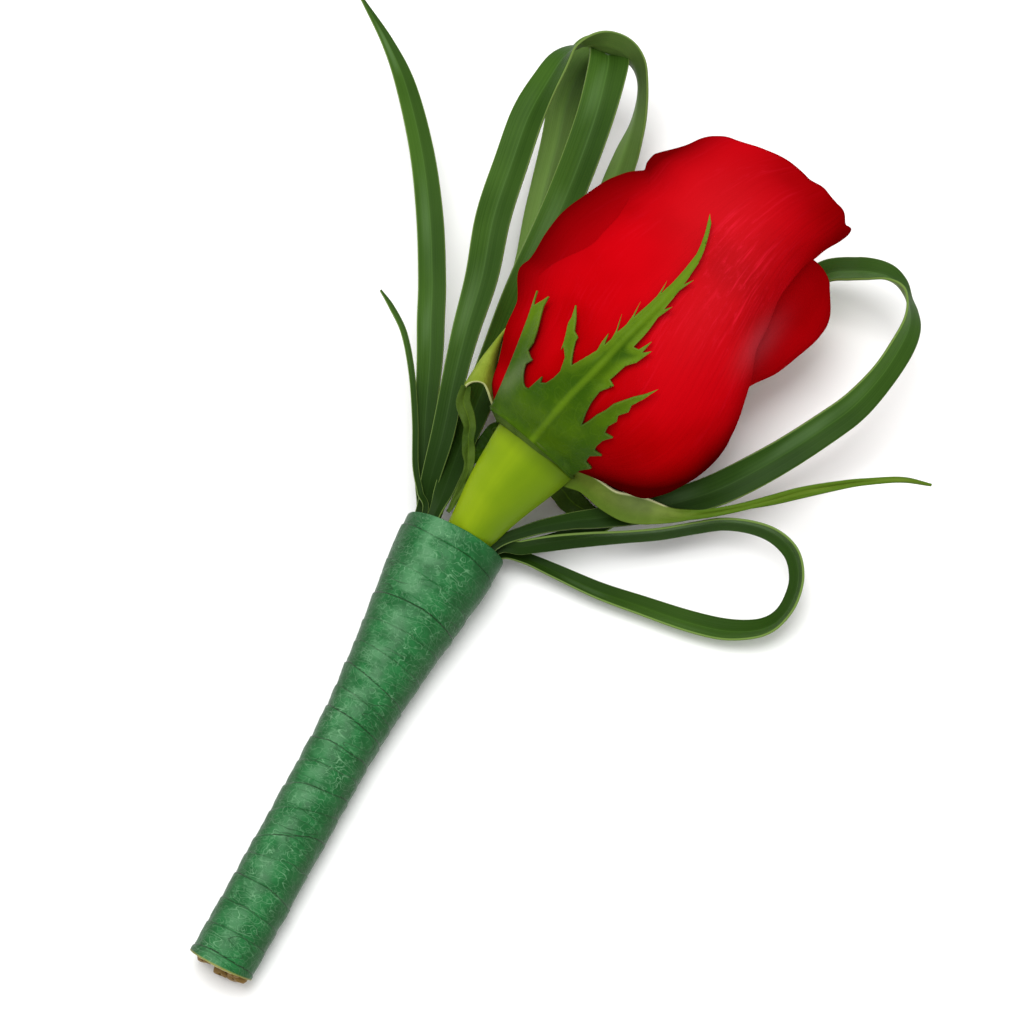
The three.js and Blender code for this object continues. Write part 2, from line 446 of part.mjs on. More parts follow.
const blades = {
  grass_blade_tall: tallRoute,
  grass_blade_short: shortRoute,
  grass_loop_left_outer: leftOuterRoute,
  grass_loop_left_inner: leftInnerRoute,
  grass_loop_right: rightRoute,
  grass_loop_low: lowRoute,
};
for (const [name, route] of Object.entries(blades)) {
  arrangement.add(piece(name, blade(route, bladeThick, bladeFold), grassFinish));
}

// The origin is the middle of the footprint, on the table.
const box = new THREE.Box3().setFromObject(arrangement, true);
const middle = box.getCenter(new THREE.Vector3());
arrangement.position.set(-middle.x, -middle.y, -box.min.z);

export default boutonniere;
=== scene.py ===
import math

import bmesh
import bpy
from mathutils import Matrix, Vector, noise


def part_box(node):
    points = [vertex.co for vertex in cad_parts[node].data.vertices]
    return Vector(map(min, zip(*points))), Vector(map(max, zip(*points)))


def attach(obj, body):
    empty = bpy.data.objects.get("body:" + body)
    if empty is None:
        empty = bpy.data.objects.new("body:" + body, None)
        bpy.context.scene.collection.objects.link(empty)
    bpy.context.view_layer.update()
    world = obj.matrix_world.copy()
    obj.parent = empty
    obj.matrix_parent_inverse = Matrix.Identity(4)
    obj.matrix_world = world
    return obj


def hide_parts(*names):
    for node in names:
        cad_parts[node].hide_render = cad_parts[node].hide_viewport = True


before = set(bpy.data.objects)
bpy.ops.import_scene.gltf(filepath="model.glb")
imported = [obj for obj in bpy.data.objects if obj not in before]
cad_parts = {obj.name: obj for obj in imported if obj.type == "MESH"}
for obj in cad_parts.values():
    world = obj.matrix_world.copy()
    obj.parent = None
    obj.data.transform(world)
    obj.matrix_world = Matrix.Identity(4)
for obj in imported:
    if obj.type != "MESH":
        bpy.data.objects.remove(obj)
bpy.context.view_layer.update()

mm = 0.001
fullTurn = 2 * math.pi
sameSpot = 1e-7  # metres: corners this close are one corner
tapeLow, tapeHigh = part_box("tape_wrap")
# every length below is in millimetres, from the middle of the cut foot on the table
footSpot = Vector(((tapeLow[0] + tapeHigh[0]) / 2, tapeLow[1], 0))


def toFrame(point):
    return footSpot + Vector(point) * mm


def mix(a, b, share):
    return a + (b - a) * share


def ease(value, low, high):
    share = min(max((value - low) / (high - low), 0.0), 1.0)
    return share * share * (3 - 2 * share)


def hump(value, middle, width):
    return math.exp(-(((value - middle) / width) ** 2))


def smoothRow(rows, position):
    # rows of [position, value, ...], read with a smooth curve through them
    last = len(rows) - 1
    position = min(max(position, rows[0][0]), rows[last][0])
    k = 0
    while k < last - 1 and position > rows[k + 1][0]:
        k += 1
    before, low, high, after = rows[max(k - 1, 0)], rows[k], rows[k + 1], rows[min(k + 2, last)]
    span = high[0] - low[0]
    t = (position - low[0]) / span
    values = []
    for i in range(1, len(low)):
        slopeLow = (high[i] - before[i]) / (high[0] - before[0])
        slopeHigh = (after[i] - low[i]) / (after[0] - low[0])
        values.append(
            low[i] * (1 + 2 * t) * (1 - t) ** 2
            + high[i] * t * t * (3 - 2 * t)
            + slopeLow * span * t * (1 - t) ** 2
            - slopeHigh * span * t * t * (1 - t)
        )
    return values


def curveAt(rows, position):
    return smoothRow(rows, position)[0]


def newMarks(bm, *names):
    # a mark is a named value at each corner, for the finish to read
    for name in names:
        bm.verts.layers.float.new(name)
    return [bm.verts.layers.float[name] for name in names]


def addSheet(bm, columns, rows, place, paint=None, marks=None):
    # a grid whose corners are laid by place(u, v); its UV map keeps what paint(u, v) gives
    marks = marks or {}
    uvLayer = bm.loops.layers.uv.verify()
    layers = newMarks(bm, *marks)
    made = bmesh.ops.create_grid(bm, x_segments=columns, y_segments=rows, size=0.5)["verts"]
    flat = {vert: (vert.co.x + 0.5, vert.co.y + 0.5) for vert in made}
    for face in {face for vert in made for face in vert.link_faces}:
        face.smooth = True
        for loop in face.loops:
            u, v = flat[loop.vert]
            loop[uvLayer].uv = paint(u, v) if paint else (u, v)
    for vert, (u, v) in flat.items():
        vert.co = place(u, v)
        for layer, mark in zip(layers, marks.values()):
            vert[layer] = mark(u, v)


def addPiece(name, bm, node, slotName, *materials):
    mesh = bpy.data.meshes.new(name)
    bm.to_mesh(mesh)
    bm.free()
    piece = bpy.data.objects.new(name, mesh)
    bpy.context.scene.collection.objects.link(piece)
    for material in materials:
        mesh.materials.append(material)
    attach(piece, "root")
    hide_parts(node)
    return piece


def thicken(piece, thickness, offset=0.0):
    wall = piece.modifiers.new("wall", "SOLIDIFY")
    wall.thickness = thickness * mm
    wall.offset = offset
    wall.use_even_offset = False
    if len(piece.data.materials) > 1:
        wall.material_offset = 1  # the underside takes the second material


def routeAt(route, share):
    return smoothRow([[k, *point] for k, point in enumerate(route)], share * (len(route) - 1))


def netPoint(net, u, v):
    # a smooth skin through rows of points
    return routeAt([routeAt(line, u) for line in net], v)


def faceUp(route):
    # a row of [x, y, z, width] gets the way its upper face looks: straight up
    return [[*row, 0, 0, 1] if len(row) == 4 else row for row in route]


def routeFrame(route, share, face):
    near = 1e-3
    here = Vector(routeAt(route, share)[:3])
    ahead = Vector(routeAt(route, min(share + near, 1))[:3])
    behind = Vector(routeAt(route, max(share - near, 0))[:3])
    along = (ahead - behind).normalized()
    across = along.cross(face).normalized()
    return here, across, across.cross(along)


def addRibbon(bm, route, columns, rows, fold, transform, wave=0.0, seed=0.0, marks=None):
    # a blade along a route of [x, y, z, width, then the way its upper face looks]
    route = faceUp(route)
    leastWidth, softness = 0.08, 0.02

    def place(u, v):
        values = routeAt(route, v)
        width = max(values[3], leastWidth)
        here, across, up = routeFrame(route, v, Vector(values[4:7]))
        side = 2 * u - 1
        dip = fold * width * (math.sqrt(side * side + softness) - 0.5)
        dip += wave * noise.noise(Vector((v * 9 + seed, side * 1.2, seed)))
        return transform(here + across * side * width / 2 + up * dip)

    addSheet(bm, columns, rows, place, None, marks)


def combine(tree, operation, first, second=None):
    made = tree.nodes.new("ShaderNodeMath")
    made.operation = operation
    for socket, value in zip(made.inputs, (first, second)):
        if isinstance(value, (int, float)):
            socket.default_value = value
        elif value is not None:
            tree.links.new(value, socket)
    return made.outputs[0]


def times(tree, first, second):
    return combine(tree, "MULTIPLY", first, second)


def awayFrom(tree, value, middle):
    return combine(tree, "ABSOLUTE", combine(tree, "SUBTRACT", value, middle))


# effects that several finishes share
def startGroup(name, **values):
    group = bpy.data.node_groups.new(name, "ShaderNodeTree")
    group.interface.new_socket("Vector", in_out="INPUT", socket_type="NodeSocketVector")
    stretch = group.interface.new_socket("Stretch", in_out="INPUT", socket_type="NodeSocketVector")
    stretch.default_value = (1, 1, 1)
    for label, value in values.items():
        socket = group.interface.new_socket(label, in_out="INPUT", socket_type="NodeSocketFloat")
        socket.default_value = value
    group.interface.new_socket("Mask", in_out="OUTPUT", socket_type="NodeSocketFloat")
    inputs = group.nodes.new("NodeGroupInput").outputs
    return group, inputs, group.nodes.new("NodeGroupOutput").inputs["Mask"]


def grainNoise(group, inputs, names):
    spread = group.nodes.new("ShaderNodeVectorMath")
    spread.operation = "MULTIPLY"
    group.links.new(inputs["Vector"], spread.inputs[0])
    group.links.new(inputs["Stretch"], spread.inputs[1])
    pattern = group.nodes.new("ShaderNodeTexNoise")
    group.links.new(spread.outputs[0], pattern.inputs["Vector"])
    for name in names:
        group.links.new(inputs[name], pattern.inputs[name])
    return pattern.outputs["Fac"]


def smoothRange(group, value, low, high, toLow, toHigh):
    made = group.nodes.new("ShaderNodeMapRange")
    made.interpolation_type = "SMOOTHSTEP"
    group.links.new(value, made.inputs["Value"])
    for label, given in (("From Min", low), ("From Max", high), ("To Min", toLow), ("To Max", toHigh)):
        if isinstance(given, (int, float)):
            made.inputs[label].default_value = given
        else:
            group.links.new(given, made.inputs[label])
    return made.outputs["Result"]


def buildFineLines():
    # thin curling lines, where a soft pattern crosses its middle
    group, inputs, mask = startGroup("fineLines", Scale=300, Detail=1, Distortion=0, Width=0.02)
    away = awayFrom(group, grainNoise(group, inputs, ("Scale", "Detail", "Distortion")), 0.5)
    group.links.new(smoothRange(group, away, 0, inputs["Width"], 1, 0), mask)
    return group


def buildSoftCloud():
    # a mottled mask, also used as long grain when it is stretched
    group, inputs, mask = startGroup("softCloud", Scale=100, Detail=3, Roughness=0.5, Low=0.35, High=0.65)
    field = grainNoise(group, inputs, ("Scale", "Detail", "Roughness"))
    group.links.new(smoothRange(group, field, inputs["Low"], inputs["High"], 0, 1), mask)
    return group


fineLines = buildFineLines()
softCloud = buildSoftCloud()


def startMaterial(name, values):
    material = bpy.data.materials.new(name)
    material.use_nodes = True
    tree = material.node_tree
    shader = tree.nodes["Principled BSDF"]
    shader.inputs["Roughness"].default_value = values["roughness"]
    shader.inputs["Specular IOR Level"].default_value = values["gloss"]
    return material, tree, shader


def placesOf(tree):
    # what a pattern is laid on: the place in the object, and the place on the UV map
    coordinates = tree.nodes.new("ShaderNodeTexCoord")
    return coordinates.outputs["Object"], coordinates.outputs["UV"]


def sharesOf(tree, uv):
    split = tree.nodes.new("ShaderNodeSeparateXYZ")
    tree.links.new(uv, split.inputs[0])
    return split.outputs["X"], split.outputs["Y"]


def maskOf(tree, group, vector, **values):
    made = tree.nodes.new("ShaderNodeGroup")
    made.node_tree = group
    tree.links.new(vector, made.inputs["Vector"])
    for label, value in values.items():
        made.inputs[label].default_value = value
    return made.outputs["Mask"]


def patches(tree, spot, scale, detail, low=0.35, high=0.65, **more):
    return maskOf(tree, softCloud, spot, Scale=scale, Detail=detail, Low=low, High=high, **more)


def grain(tree, uv, across, along, detail, low=0.35, high=0.65, **more):
    # this many soft cells across the UV map, and this many along it
    return patches(tree, uv, 1, detail, low, high, Stretch=(across, along, 1), **more)


def fibres(tree, spot, scale, detail, bend, width, **more):
    return maskOf(tree, fineLines, spot, Scale=scale, Detail=detail, Distortion=bend, Width=width, **more)


def attribute(tree, name):
    made = tree.nodes.new("ShaderNodeAttribute")
    made.attribute_name = name
    return made.outputs["Fac"]


def blend(tree, share, first, second):
    made = tree.nodes.new("ShaderNodeMix")
    made.data_type = "RGBA"
    sockets = {"Factor": share, "A": first, "B": second}
    for socket in made.inputs:
        value = sockets.get(socket.name) if socket.enabled else None
        if isinstance(value, (int, float)):
            socket.default_value = value
        elif isinstance(value, tuple):
            socket.default_value = (*value, 1)
        elif value is not None:
            tree.links.new(value, socket)
    return [out for out in made.outputs if out.enabled][0]


def layOver(tree, color, tints, *steps):
    # one colour after another over the first: how much of it, and the name of its tint
    for share, name in steps:
        color = blend(tree, share, color, tints[name])
    return color


def endMaterial(material, color, height, strength, distance):
    tree = material.node_tree
    shader = tree.nodes["Principled BSDF"]
    tree.links.new(color, shader.inputs["Base Color"])
    made = tree.nodes.new("ShaderNodeBump")
    made.inputs["Strength"].default_value = strength
    made.inputs["Distance"].default_value = distance * mm
    tree.links.new(height, made.inputs["Height"])
    tree.links.new(made.outputs["Normal"], shader.inputs["Normal"])
    return material


# floral tape, wound from the mouth down to the foot
tape = {
    "grid": (88, 520),
    "length": 74.0,
    "widths": [[0, 4.85], [38, 4.85], [50, 5.65], [60, 6.85], [68, 7.8], [74, 8.12]],
    "heights": [[0, 4.45], [38, 4.55], [50, 5.05], [60, 5.65], [68, 6.25], [74, 6.45]],
    "wall": 0.7,
    "pressed": 0.25,
    "step": 0.2,
    "crinkle": 0.055,
    "footLap": 0.8,  # how far the upper rim of the foot stands over
    "footTuck": 1.9,
    # each turn's upper edge: its place on the left, on the right, and how plainly it shows
    "laps": [
        [76.5, 75.5, 0], [72.1, 70.5, 0.8], [66.4, 63.6, 0.3], [61.0, 60.0, 1], [56.6, 56.2, 0.35],
        [53.0, 51.4, 0.45], [49.6, 46.4, 0.9], [45.8, 43.4, 0.5], [42.3, 40.5, 0.9], [37.0, 36.8, 0.8],
        [32.8, 33.9, 0.45], [28.5, 30.8, 0.8], [24.0, 27.6, 0.45], [19.3, 23.6, 0.8], [16.8, 18.2, 0.5],
        [13.4, 12.7, 0.8], [9.3, 8.6, 0.55], [5.4, 5.0, 0.5], [1.5, 1.2, 0.9], [-3, -3, 0],
    ],
    "roughness": 0.38,
    "gloss": 0.13,
    "deep": (0.008, 0.088, 0.02),
    "bright": (0.015, 0.135, 0.034),
    "frost": (0.12, 0.25, 0.13),
    "hair": (0.2, 0.42, 0.22),
    # dark lines where the turns meet, and painted shade in the creases
    "line": (0.008, 0.022, 0.007),
    "side": (0.012, 0.055, 0.014),
    "sheen": (0.09, 0.24, 0.11),
    "torn": (0.36, 0.3, 0.07),
}


def tapeLap(angle, along):
    # which turn covers this place, how far below its upper edge, and how plain that edge is
    quarter = (math.degrees(angle) + 90) % 360
    onTop = quarter <= 180
    share = quarter / 180 if onTop else (quarter - 180) / 180
    share = share * share * (3 - 2 * share)
    laps = tape["laps"]
    edges = []
    for k in range(len(laps) - 1):
        left, right, _ = laps[k]
        edges.append(mix(left, right, share) if onTop else mix(right, laps[k + 1][0], share))
    edges.append(-6)
    wobble = 0.35 * noise.noise(Vector((math.sin(angle) * 1.3, math.cos(angle) * 1.3, along * 0.12)))
    k = 0
    while k < len(edges) - 2 and along + wobble < edges[k + 1]:
        k += 1
    share = (edges[k] - along - wobble) / (edges[k] - edges[k + 1])
    return k + share, edges[k] - along - wobble, laps[k][2]


def tapeMaterial():
    material, tree, _ = startMaterial("floralTape", tape)
    spot, _ = placesOf(tree)
    frost = patches(tree, spot, 240, 6, 0.52, 0.72, Roughness=0.75)
    # thin folds that run round the handle, curling fibres across them, and fine threads
    folds = fibres(tree, spot, 620, 0.5, 0.2, 0.016, Stretch=(0.4, 1.5, 0.4))
    folds = times(tree, folds, patches(tree, spot, 110, 2, 0.42, 0.6))
    curls = fibres(tree, spot, 700, 0.5, 0.3, 0.017, Stretch=(0.8, 1.1, 0.8))
    curls = times(tree, curls, patches(tree, spot, 160, 1, 0.45, 0.6, Stretch=(1.1, 0.9, 1)))
    threads = times(tree, fibres(tree, spot, 1200, 1, 0.3, 0.045, Stretch=(0.8, 1, 0.8)), 0.35)
    hairs = combine(tree, "MAXIMUM", combine(tree, "MAXIMUM", folds, curls), threads)
    sheen = patches(tree, spot, 330, 4, 0.35, 0.6, Stretch=(0.7, 1, 0.7))
    # painted shade in creases in places, and the dark line along each turn's upper edge
    creases = fibres(tree, spot, 340, 0.5, 0.2, 0.016, Stretch=(0.35, 1.4, 0.35))
    creaseShade = times(tree, creases, patches(tree, spot, 90, 1, 0.45, 0.6))
    edge = smoothRange(tree, attribute(tree, "lapDistance"), 0.12, 0.42, 1, 0)
    edge = times(tree, edge, patches(tree, spot, 90, 2, 0.2, 0.45))
    color = layOver(
        tree, blend(tree, patches(tree, spot, 420, 4), tape["deep"], tape["bright"]), tape,
        (times(tree, frost, 0.12), "frost"),
        (times(tree, attribute(tree, "topSheen"), sheen), "sheen"),
        (times(tree, hairs, 0.6), "hair"),
        # painted shade in the creases
        (times(tree, creaseShade, 0.55), "line"),
        (attribute(tree, "sideShade"), "side"),
        (times(tree, edge, attribute(tree, "lapPlain")), "line"),
        (attribute(tree, "tornEdge"), "torn"),
    )
    relief = combine(tree, "ADD", times(tree, hairs, 0.7), times(tree, creases, -0.5))
    relief = combine(tree, "ADD", relief, times(tree, patches(tree, spot, 900, 3, 0.2, 0.8), 0.5))
    return endMaterial(material, color, relief, 0.45, 0.16)


def buildTape():
    bm = bmesh.new()

    def footAt(angle):
        return mix(tape["footTuck"], -tape["footLap"], 0.5 + 0.5 * math.cos(angle))

    def place(u, v):
        angle = fullTurn * u
        mouth = tape["length"] + 0.2 * noise.noise(Vector((math.sin(angle) * 2, math.cos(angle) * 2, 5)))
        along = mix(footAt(angle), mouth, v)
        halfWidth = curveAt(tape["widths"], along)
        halfHeight = curveAt(tape["heights"], along)
        turn, below, plain = tapeLap(angle, along)
        share = turn % 1.0
        step = tape["step"] * (0.35 + 0.65 * plain) * (1 - share) * ease(below, 0.0, 0.22)
        spot = Vector((math.sin(angle) * 3.5, math.cos(angle) * 3.5, along * 0.8))
        relief = step + tape["crinkle"] * noise.fractal(spot, 0.7, 2.0, 3)
        relief += 0.1 * noise.noise(spot * 0.45)
        x = (halfWidth + relief) * math.sin(angle)
        z = halfHeight - tape["pressed"] + (halfHeight + relief) * math.cos(angle)
        return toFrame((x, min(along, tape["length"] + 0.2), max(z, 0.0)))

    def lapAt(u, v):
        angle = fullTurn * u
        return tapeLap(angle, mix(footAt(angle), tape["length"], v))

    addSheet(bm, *tape["grid"], place, None, {
        "lapDistance": lambda u, v: lapAt(u, v)[1],
        "lapPlain": lambda u, v: lapAt(u, v)[2],
        "sideShade": lambda u, v: 0.75 * ease(abs(math.sin(fullTurn * u)), 0.35, 0.97),
        "topSheen": lambda u, v: mix(0.4, 0.8, v) * hump((u + 0.5) % 1 - 0.5, -0.04, 0.05),
        "tornEdge": lambda u, v: 0.8 * (1 - ease(v, 0.0, 0.004)),
    })
    bmesh.ops.remove_doubles(bm, verts=bm.verts, dist=sameSpot)
    piece = addPiece("floralTape", bm, "tape_wrap", "floral_tape", tapeMaterial())
    thicken(piece, tape["wall"], -1)
    print("floral tape done")


# rose stem, which swells into the hip
hip = {
    "route": [
        [0, 0.4, 4.3], [0.1, 22, 4.4], [0.2, 44, 4.8], [0.7, 66, 6.2], [1.5, 73, 7.4], [2.5, 78, 10.0],
        [3.6, 82, 12.6], [4.9, 86, 14.7], [5.7, 88.7, 15.8], [6.4, 91.6, 16.4],
    ],
    "radii": [
        [0, 2.4], [44, 2.5], [60, 2.8], [70, 3.2], [74, 3.6], [78, 4.2], [82, 5.0], [86, 5.8], [90, 6.55],
        [93, 7.0],
    ],
    "runOn": 2.5,
    # cut grass ends beside the stem at the foot: sideways, height, radius, how far they stand out
    "stubs": [
        [-2.8, 3.2, 1.3, -0.1], [2.6, 3.4, 1.6, 0.3], [-2.3, 6, 1, -0.4], [2.4, 6.1, 1.1, 0.2],
        [0.3, 2.4, 1.2, 0.4],
    ],
    "stubDepth": 9,
    "grid": (72, 300),
    "stubGrid": (20, 12),
    "roughness": 0.42,
    "gloss": 0.05,
    "light": (0.225, 0.322, 0.006),
    "dark": (0.13, 0.22, 0.004),
    # painted shade on the hip just under the calyx collar
    "neck": (0.055, 0.1, 0.006),
    "cut": (0.2, 0.12, 0.035),
}


def hipMaterial():
    material, tree, shader = startMaterial("hipSkin", hip)
    spot, uv = placesOf(tree)
    _, along = sharesOf(tree, uv)
    cloud = times(tree, patches(tree, spot, 75, 2, 0.3, 0.66), 0.5)
    share = combine(tree, "ADD", cloud, times(tree, grain(tree, uv, 13, 2.5, 2, 0.3, 0.7), 0.22))
    # painted shade down the right side of the hip
    shade = times(tree, attribute(tree, "rightSide"), 0.95)
    share = combine(tree, "SUBTRACT", combine(tree, "ADD", share, 0.42), shade)
    color = layOver(
        tree, blend(tree, smoothRange(tree, share, 0, 1, 0, 1), hip["dark"], hip["light"]), hip,
        # painted shade under the calyx collar
        (smoothRange(tree, along, 0.975, 1, 0, 0.55), "neck"),
        (smoothRange(tree, along, 0, 0.004, 1, 0), "cut"),
    )
    shader.inputs["Subsurface Weight"].default_value = 0.1
    shader.inputs["Subsurface Radius"].default_value = (0.3, 0.4, 0.05)
    shader.inputs["Subsurface Scale"].default_value = 0.002
    return endMaterial(material, color, grain(tree, uv, 50, 9, 4), 0.1, 0.1)


def buildStem():
    bm = bmesh.new()
    steps = 300
    points = [Vector(routeAt(hip["route"], k / steps)) for k in range(steps + 1)]
    travelled = [0.0]
    for a, b in zip(points, points[1:]):
        travelled.append(travelled[-1] + (b - a).length)
    table = [[distance, k / steps] for k, distance in enumerate(travelled)]
    top = travelled[-1] - hip["runOn"]
    closing = 0.02  # share of the rows that close each end

    def bodyShare(v):
        return min(max((v - closing) / (1 - 2 * closing), 0.0), 1.0)

    def place(u, v):
        distance = bodyShare(v) * top
        here, across, up = routeFrame(hip["route"], curveAt(table, distance), Vector((0, 0, 1)))
        radius = curveAt(hip["radii"], distance)
        angle = fullTurn * u
        radius += 0.08 * math.sin(5 * angle + 0.6) * ease(distance, 74, 90)
        radius *= min(v / closing, (1 - v) / closing, 1.0)
        return toFrame(here + across * radius * math.sin(angle) + up * radius * math.cos(angle))

    # how much painted shade falls on the right side of the hip
    marks = {"rightSide": lambda u, v: ease(math.sin(fullTurn * u), -0.1, 1.0)}
    addSheet(bm, *hip["grid"], place, lambda u, v: (u, bodyShare(v)), marks)
    for x, z, radius, front in hip["stubs"]:
        def placeStub(u, v):
            angle = fullTurn * u
            reach = radius * min(v / 0.2, (1 - v) / 0.1, 1.0) * (1 + 0.12 * math.sin(3 * angle + x))
            along = mix(-front, hip["stubDepth"], max(v - 0.2, 0)) + 0.15 * math.sin(2 * angle + z)
            return toFrame((x + reach * math.sin(angle), along, z + reach * math.cos(angle)))

        addSheet(bm, *hip["stubGrid"], placeStub, lambda u, v: (u, 0.0))
    bmesh.ops.remove_doubles(bm, verts=bm.verts, dist=sameSpot)
    bmesh.ops.recalc_face_normals(bm, faces=bm.faces)
    addPiece("roseStem", bm, "rose_stem", "hip_green", hipMaterial())
    print("stem done")


# rose bloom, lying on its side
bloom = {
    "base": Vector((4.6, 89.7, 16.3)),
    "axis": Vector((0.242, 0.947, 0.211)).normalized(),
    "face": Vector((0.158, -0.303, 0.94)),
    # along the bud, sideways shift of its middle, radius
    "shape": [
        [0, 0, 7.2], [1, 0.2, 8.2], [3, 2.0, 12.1], [6, 3.8, 15.2], [10, 4.2, 17.7], [15, 3.8, 19.1],
        [20, 2.6, 20.0], [28, 1.3, 19.1], [33, 1.3, 17.5], [37, 1.4, 16.0], [41, 1.6, 14.7],
        [45, 2.0, 13.7], [48, 2.6, 13.0], [51, 3.4, 12.4], [54, 5.0, 10.9], [57.5, 7.0, 8.2],
    ],
    # where the front petal's margins run: along the bud, left angle, right angle
    "margins": [
        [0, -96, 122], [10, -94, 118], [14.5, -86, 114], [18, -66, 111], [21.4, -56, 108], [25.8, -45, 106],
        [28.4, -43, 105], [33.8, -50, 103], [38, -66, 102], [41, -84, 101], [45, -98, 99], [58, -98, 92],
    ],
    # how far the front petal's right flank and the left petal's back stand out along the bud
    "rightReach": [
        [0, -0.2], [2.4, -0.2], [4.8, 0.5], [6.7, 0], [10, -0.6], [17, -0.4], [21, -0.5], [25, -0.8],
        [27.4, -1.1], [29.3, -1.4], [32.5, -2.4], [36.6, -2.1], [40.4, -2.4], [44.3, -2.0], [48.2, -1.7],
        [51, -1.4], [53, -0.3], [55, 1.3], [58, 1.6],
    ],
    "leftReach": [
        [0, -0.3], [5.7, -0.3], [10.3, 0.3], [14.6, 0.2], [16.1, 0.6], [18.6, 1.3], [20.8, 0.5],
        [27.3, 1.1], [31.8, 1.6], [36.6, 2.2], [40.9, 1.7], [46, 0.8],
    ],
    # how far the front petal's upper left part flares out: angle, distance
    "flare": [
        [-100, 2.2], [-90, 1.9], [-78, 1.3], [-69, 1.5], [-60, 1.7], [-48, 2.0], [-37, 1.7], [-25, 0.9],
        [-12, 0.3], [0, 0], [125, 0],
    ],
    # the front petal's free edge: angle, how far along the bud it reaches
    "topEdge": [
        [-100, 41.6], [-88, 44.1], [-78, 48.0], [-69, 50.4], [-60, 51.9], [-48, 53.0], [-37, 53.8],
        [-27, 54.8], [-18, 55.5], [-8, 55.8], [2, 55.9], [14, 55.9], [25, 55.9], [36, 55.7], [48, 55.0],
        [58, 54.6], [68, 54.2], [78, 52.1], [90, 49.1], [102, 47.2],
    ],
    # petals below the bud: start and end angle, reach along, seed, how far they stand out
    "lower": [(96, 176, 46, 8.3, -1.2), (162, 228, 44, 9.7, -0.4)],
    # the furled middle: start and end angle, reach along, how far inside, seed
    "inner": [
        (-100, 30, 54, 1.9, 11), (10, 140, 52.5, 3.2, 12), (120, 262, 52, 2.4, 13),
        (-60, 90, 53.4, 4.6, 14), (70, 215, 52.5, 5, 15), (200, 330, 52.5, 5.2, 16), (0, 200, 53, 7, 17),
        (150, 370, 52.5, 8, 18),
    ],
    "frontGrid": (160, 124),
    "leftGrid": (70, 90),
    "rightGrid": (50, 56),
    "lowerGrid": (48, 56),
    "innerGrid": (36, 22),
    "thick": 0.4,
    "roughness": 0.6,
    "gloss": 0.0,
    "deep": (0.3, 0.0, 0.0005),
    "main": (0.46, 0.0008, 0.0035),
    "light": (0.74, 0.012, 0.036),
    # the pale pink of a painted sheen in the valley by the second petal
    "pale": (0.46, 0.04, 0.055),
    "shadow": (0.04, 0.0, 0.0),
}
bloomAcross = bloom["axis"].cross(bloom["face"]).normalized()
bloomUp = bloomAcross.cross(bloom["axis"]).normalized()


def fromBloom(point):
    # the bloom's own frame: sideways, along the bud, towards the side that faces up
    x, y, z = point
    spot = bloom["base"] + bloomAcross * x + bloom["axis"] * y + bloomUp * z
    return toFrame((spot.x, spot.y, max(spot.z, 0.0)))


def budPoint(along, angle, out):
    shift, radius = smoothRow(bloom["shape"], along)
    slope = (smoothRow(bloom["shape"], along + 0.2)[1] - smoothRow(bloom["shape"], along - 0.2)[1]) / 0.4
    steep = math.hypot(1, slope)
    reach = radius + out / steep
    return shift + reach * math.sin(angle), along - out * slope / steep, reach * math.cos(angle)


def petalMaterial():
    material, tree, _ = startMaterial("rosePetal", bloom)
    spot, uv = placesOf(tree)
    streaks = grain(tree, uv, 170, 6, 6, 0.5, 0.75, Roughness=0.6)
    crinkles = grain(tree, uv, 130, 26, 6, 0.5, 0.85, Roughness=0.7)
    shine = times(tree, combine(tree, "MAXIMUM", streaks, crinkles), grain(tree, uv, 16, 2.4, 3, 0.42, 0.66))
    shine = times(tree, shine, attribute(tree, "bloomShine"))
    color = layOver(
        tree, blend(tree, patches(tree, spot, 42, 3, 0.25, 0.6), bloom["deep"], bloom["main"]), bloom,
        (times(tree, shine, 0.6), "light"),
        # painted pale sheen
        (attribute(tree, "bloomPaleSheen"), "pale"),
        (attribute(tree, "bloomShade"), "shadow"),
        (attribute(tree, "bloomCreaseShade"), "shadow"),
    )
    relief = combine(tree, "ADD", grain(tree, uv, 120, 5, 5, 0.2, 0.8), times(tree, crinkles, 0.5))
    return endMaterial(material, color, relief, 0.3, 0.3)


def ripple(u, v, seed, size):
    return size * noise.fractal(Vector((u * 3.2 + seed, v * 3.2, seed * 1.7)), 0.6, 2.0, 3)


def addPetal(bm, columns, rows, surface, marks=None):
    # surface(u, v) gives the angle, the place along the bud and how far the petal stands out
    known = {}

    def at(u, v):
        if (u, v) not in known:
            known[u, v] = surface(u, v)
        return known[u, v]

    def place(u, v):
        angle, along, out = at(u, v)
        return fromBloom(budPoint(along, math.radians(angle), out))

    def paint(u, v):
        angle, along, out = at(u, v)
        return angle / 360 + 0.5, along / 58

    addSheet(bm, columns, rows, place, paint, marks)


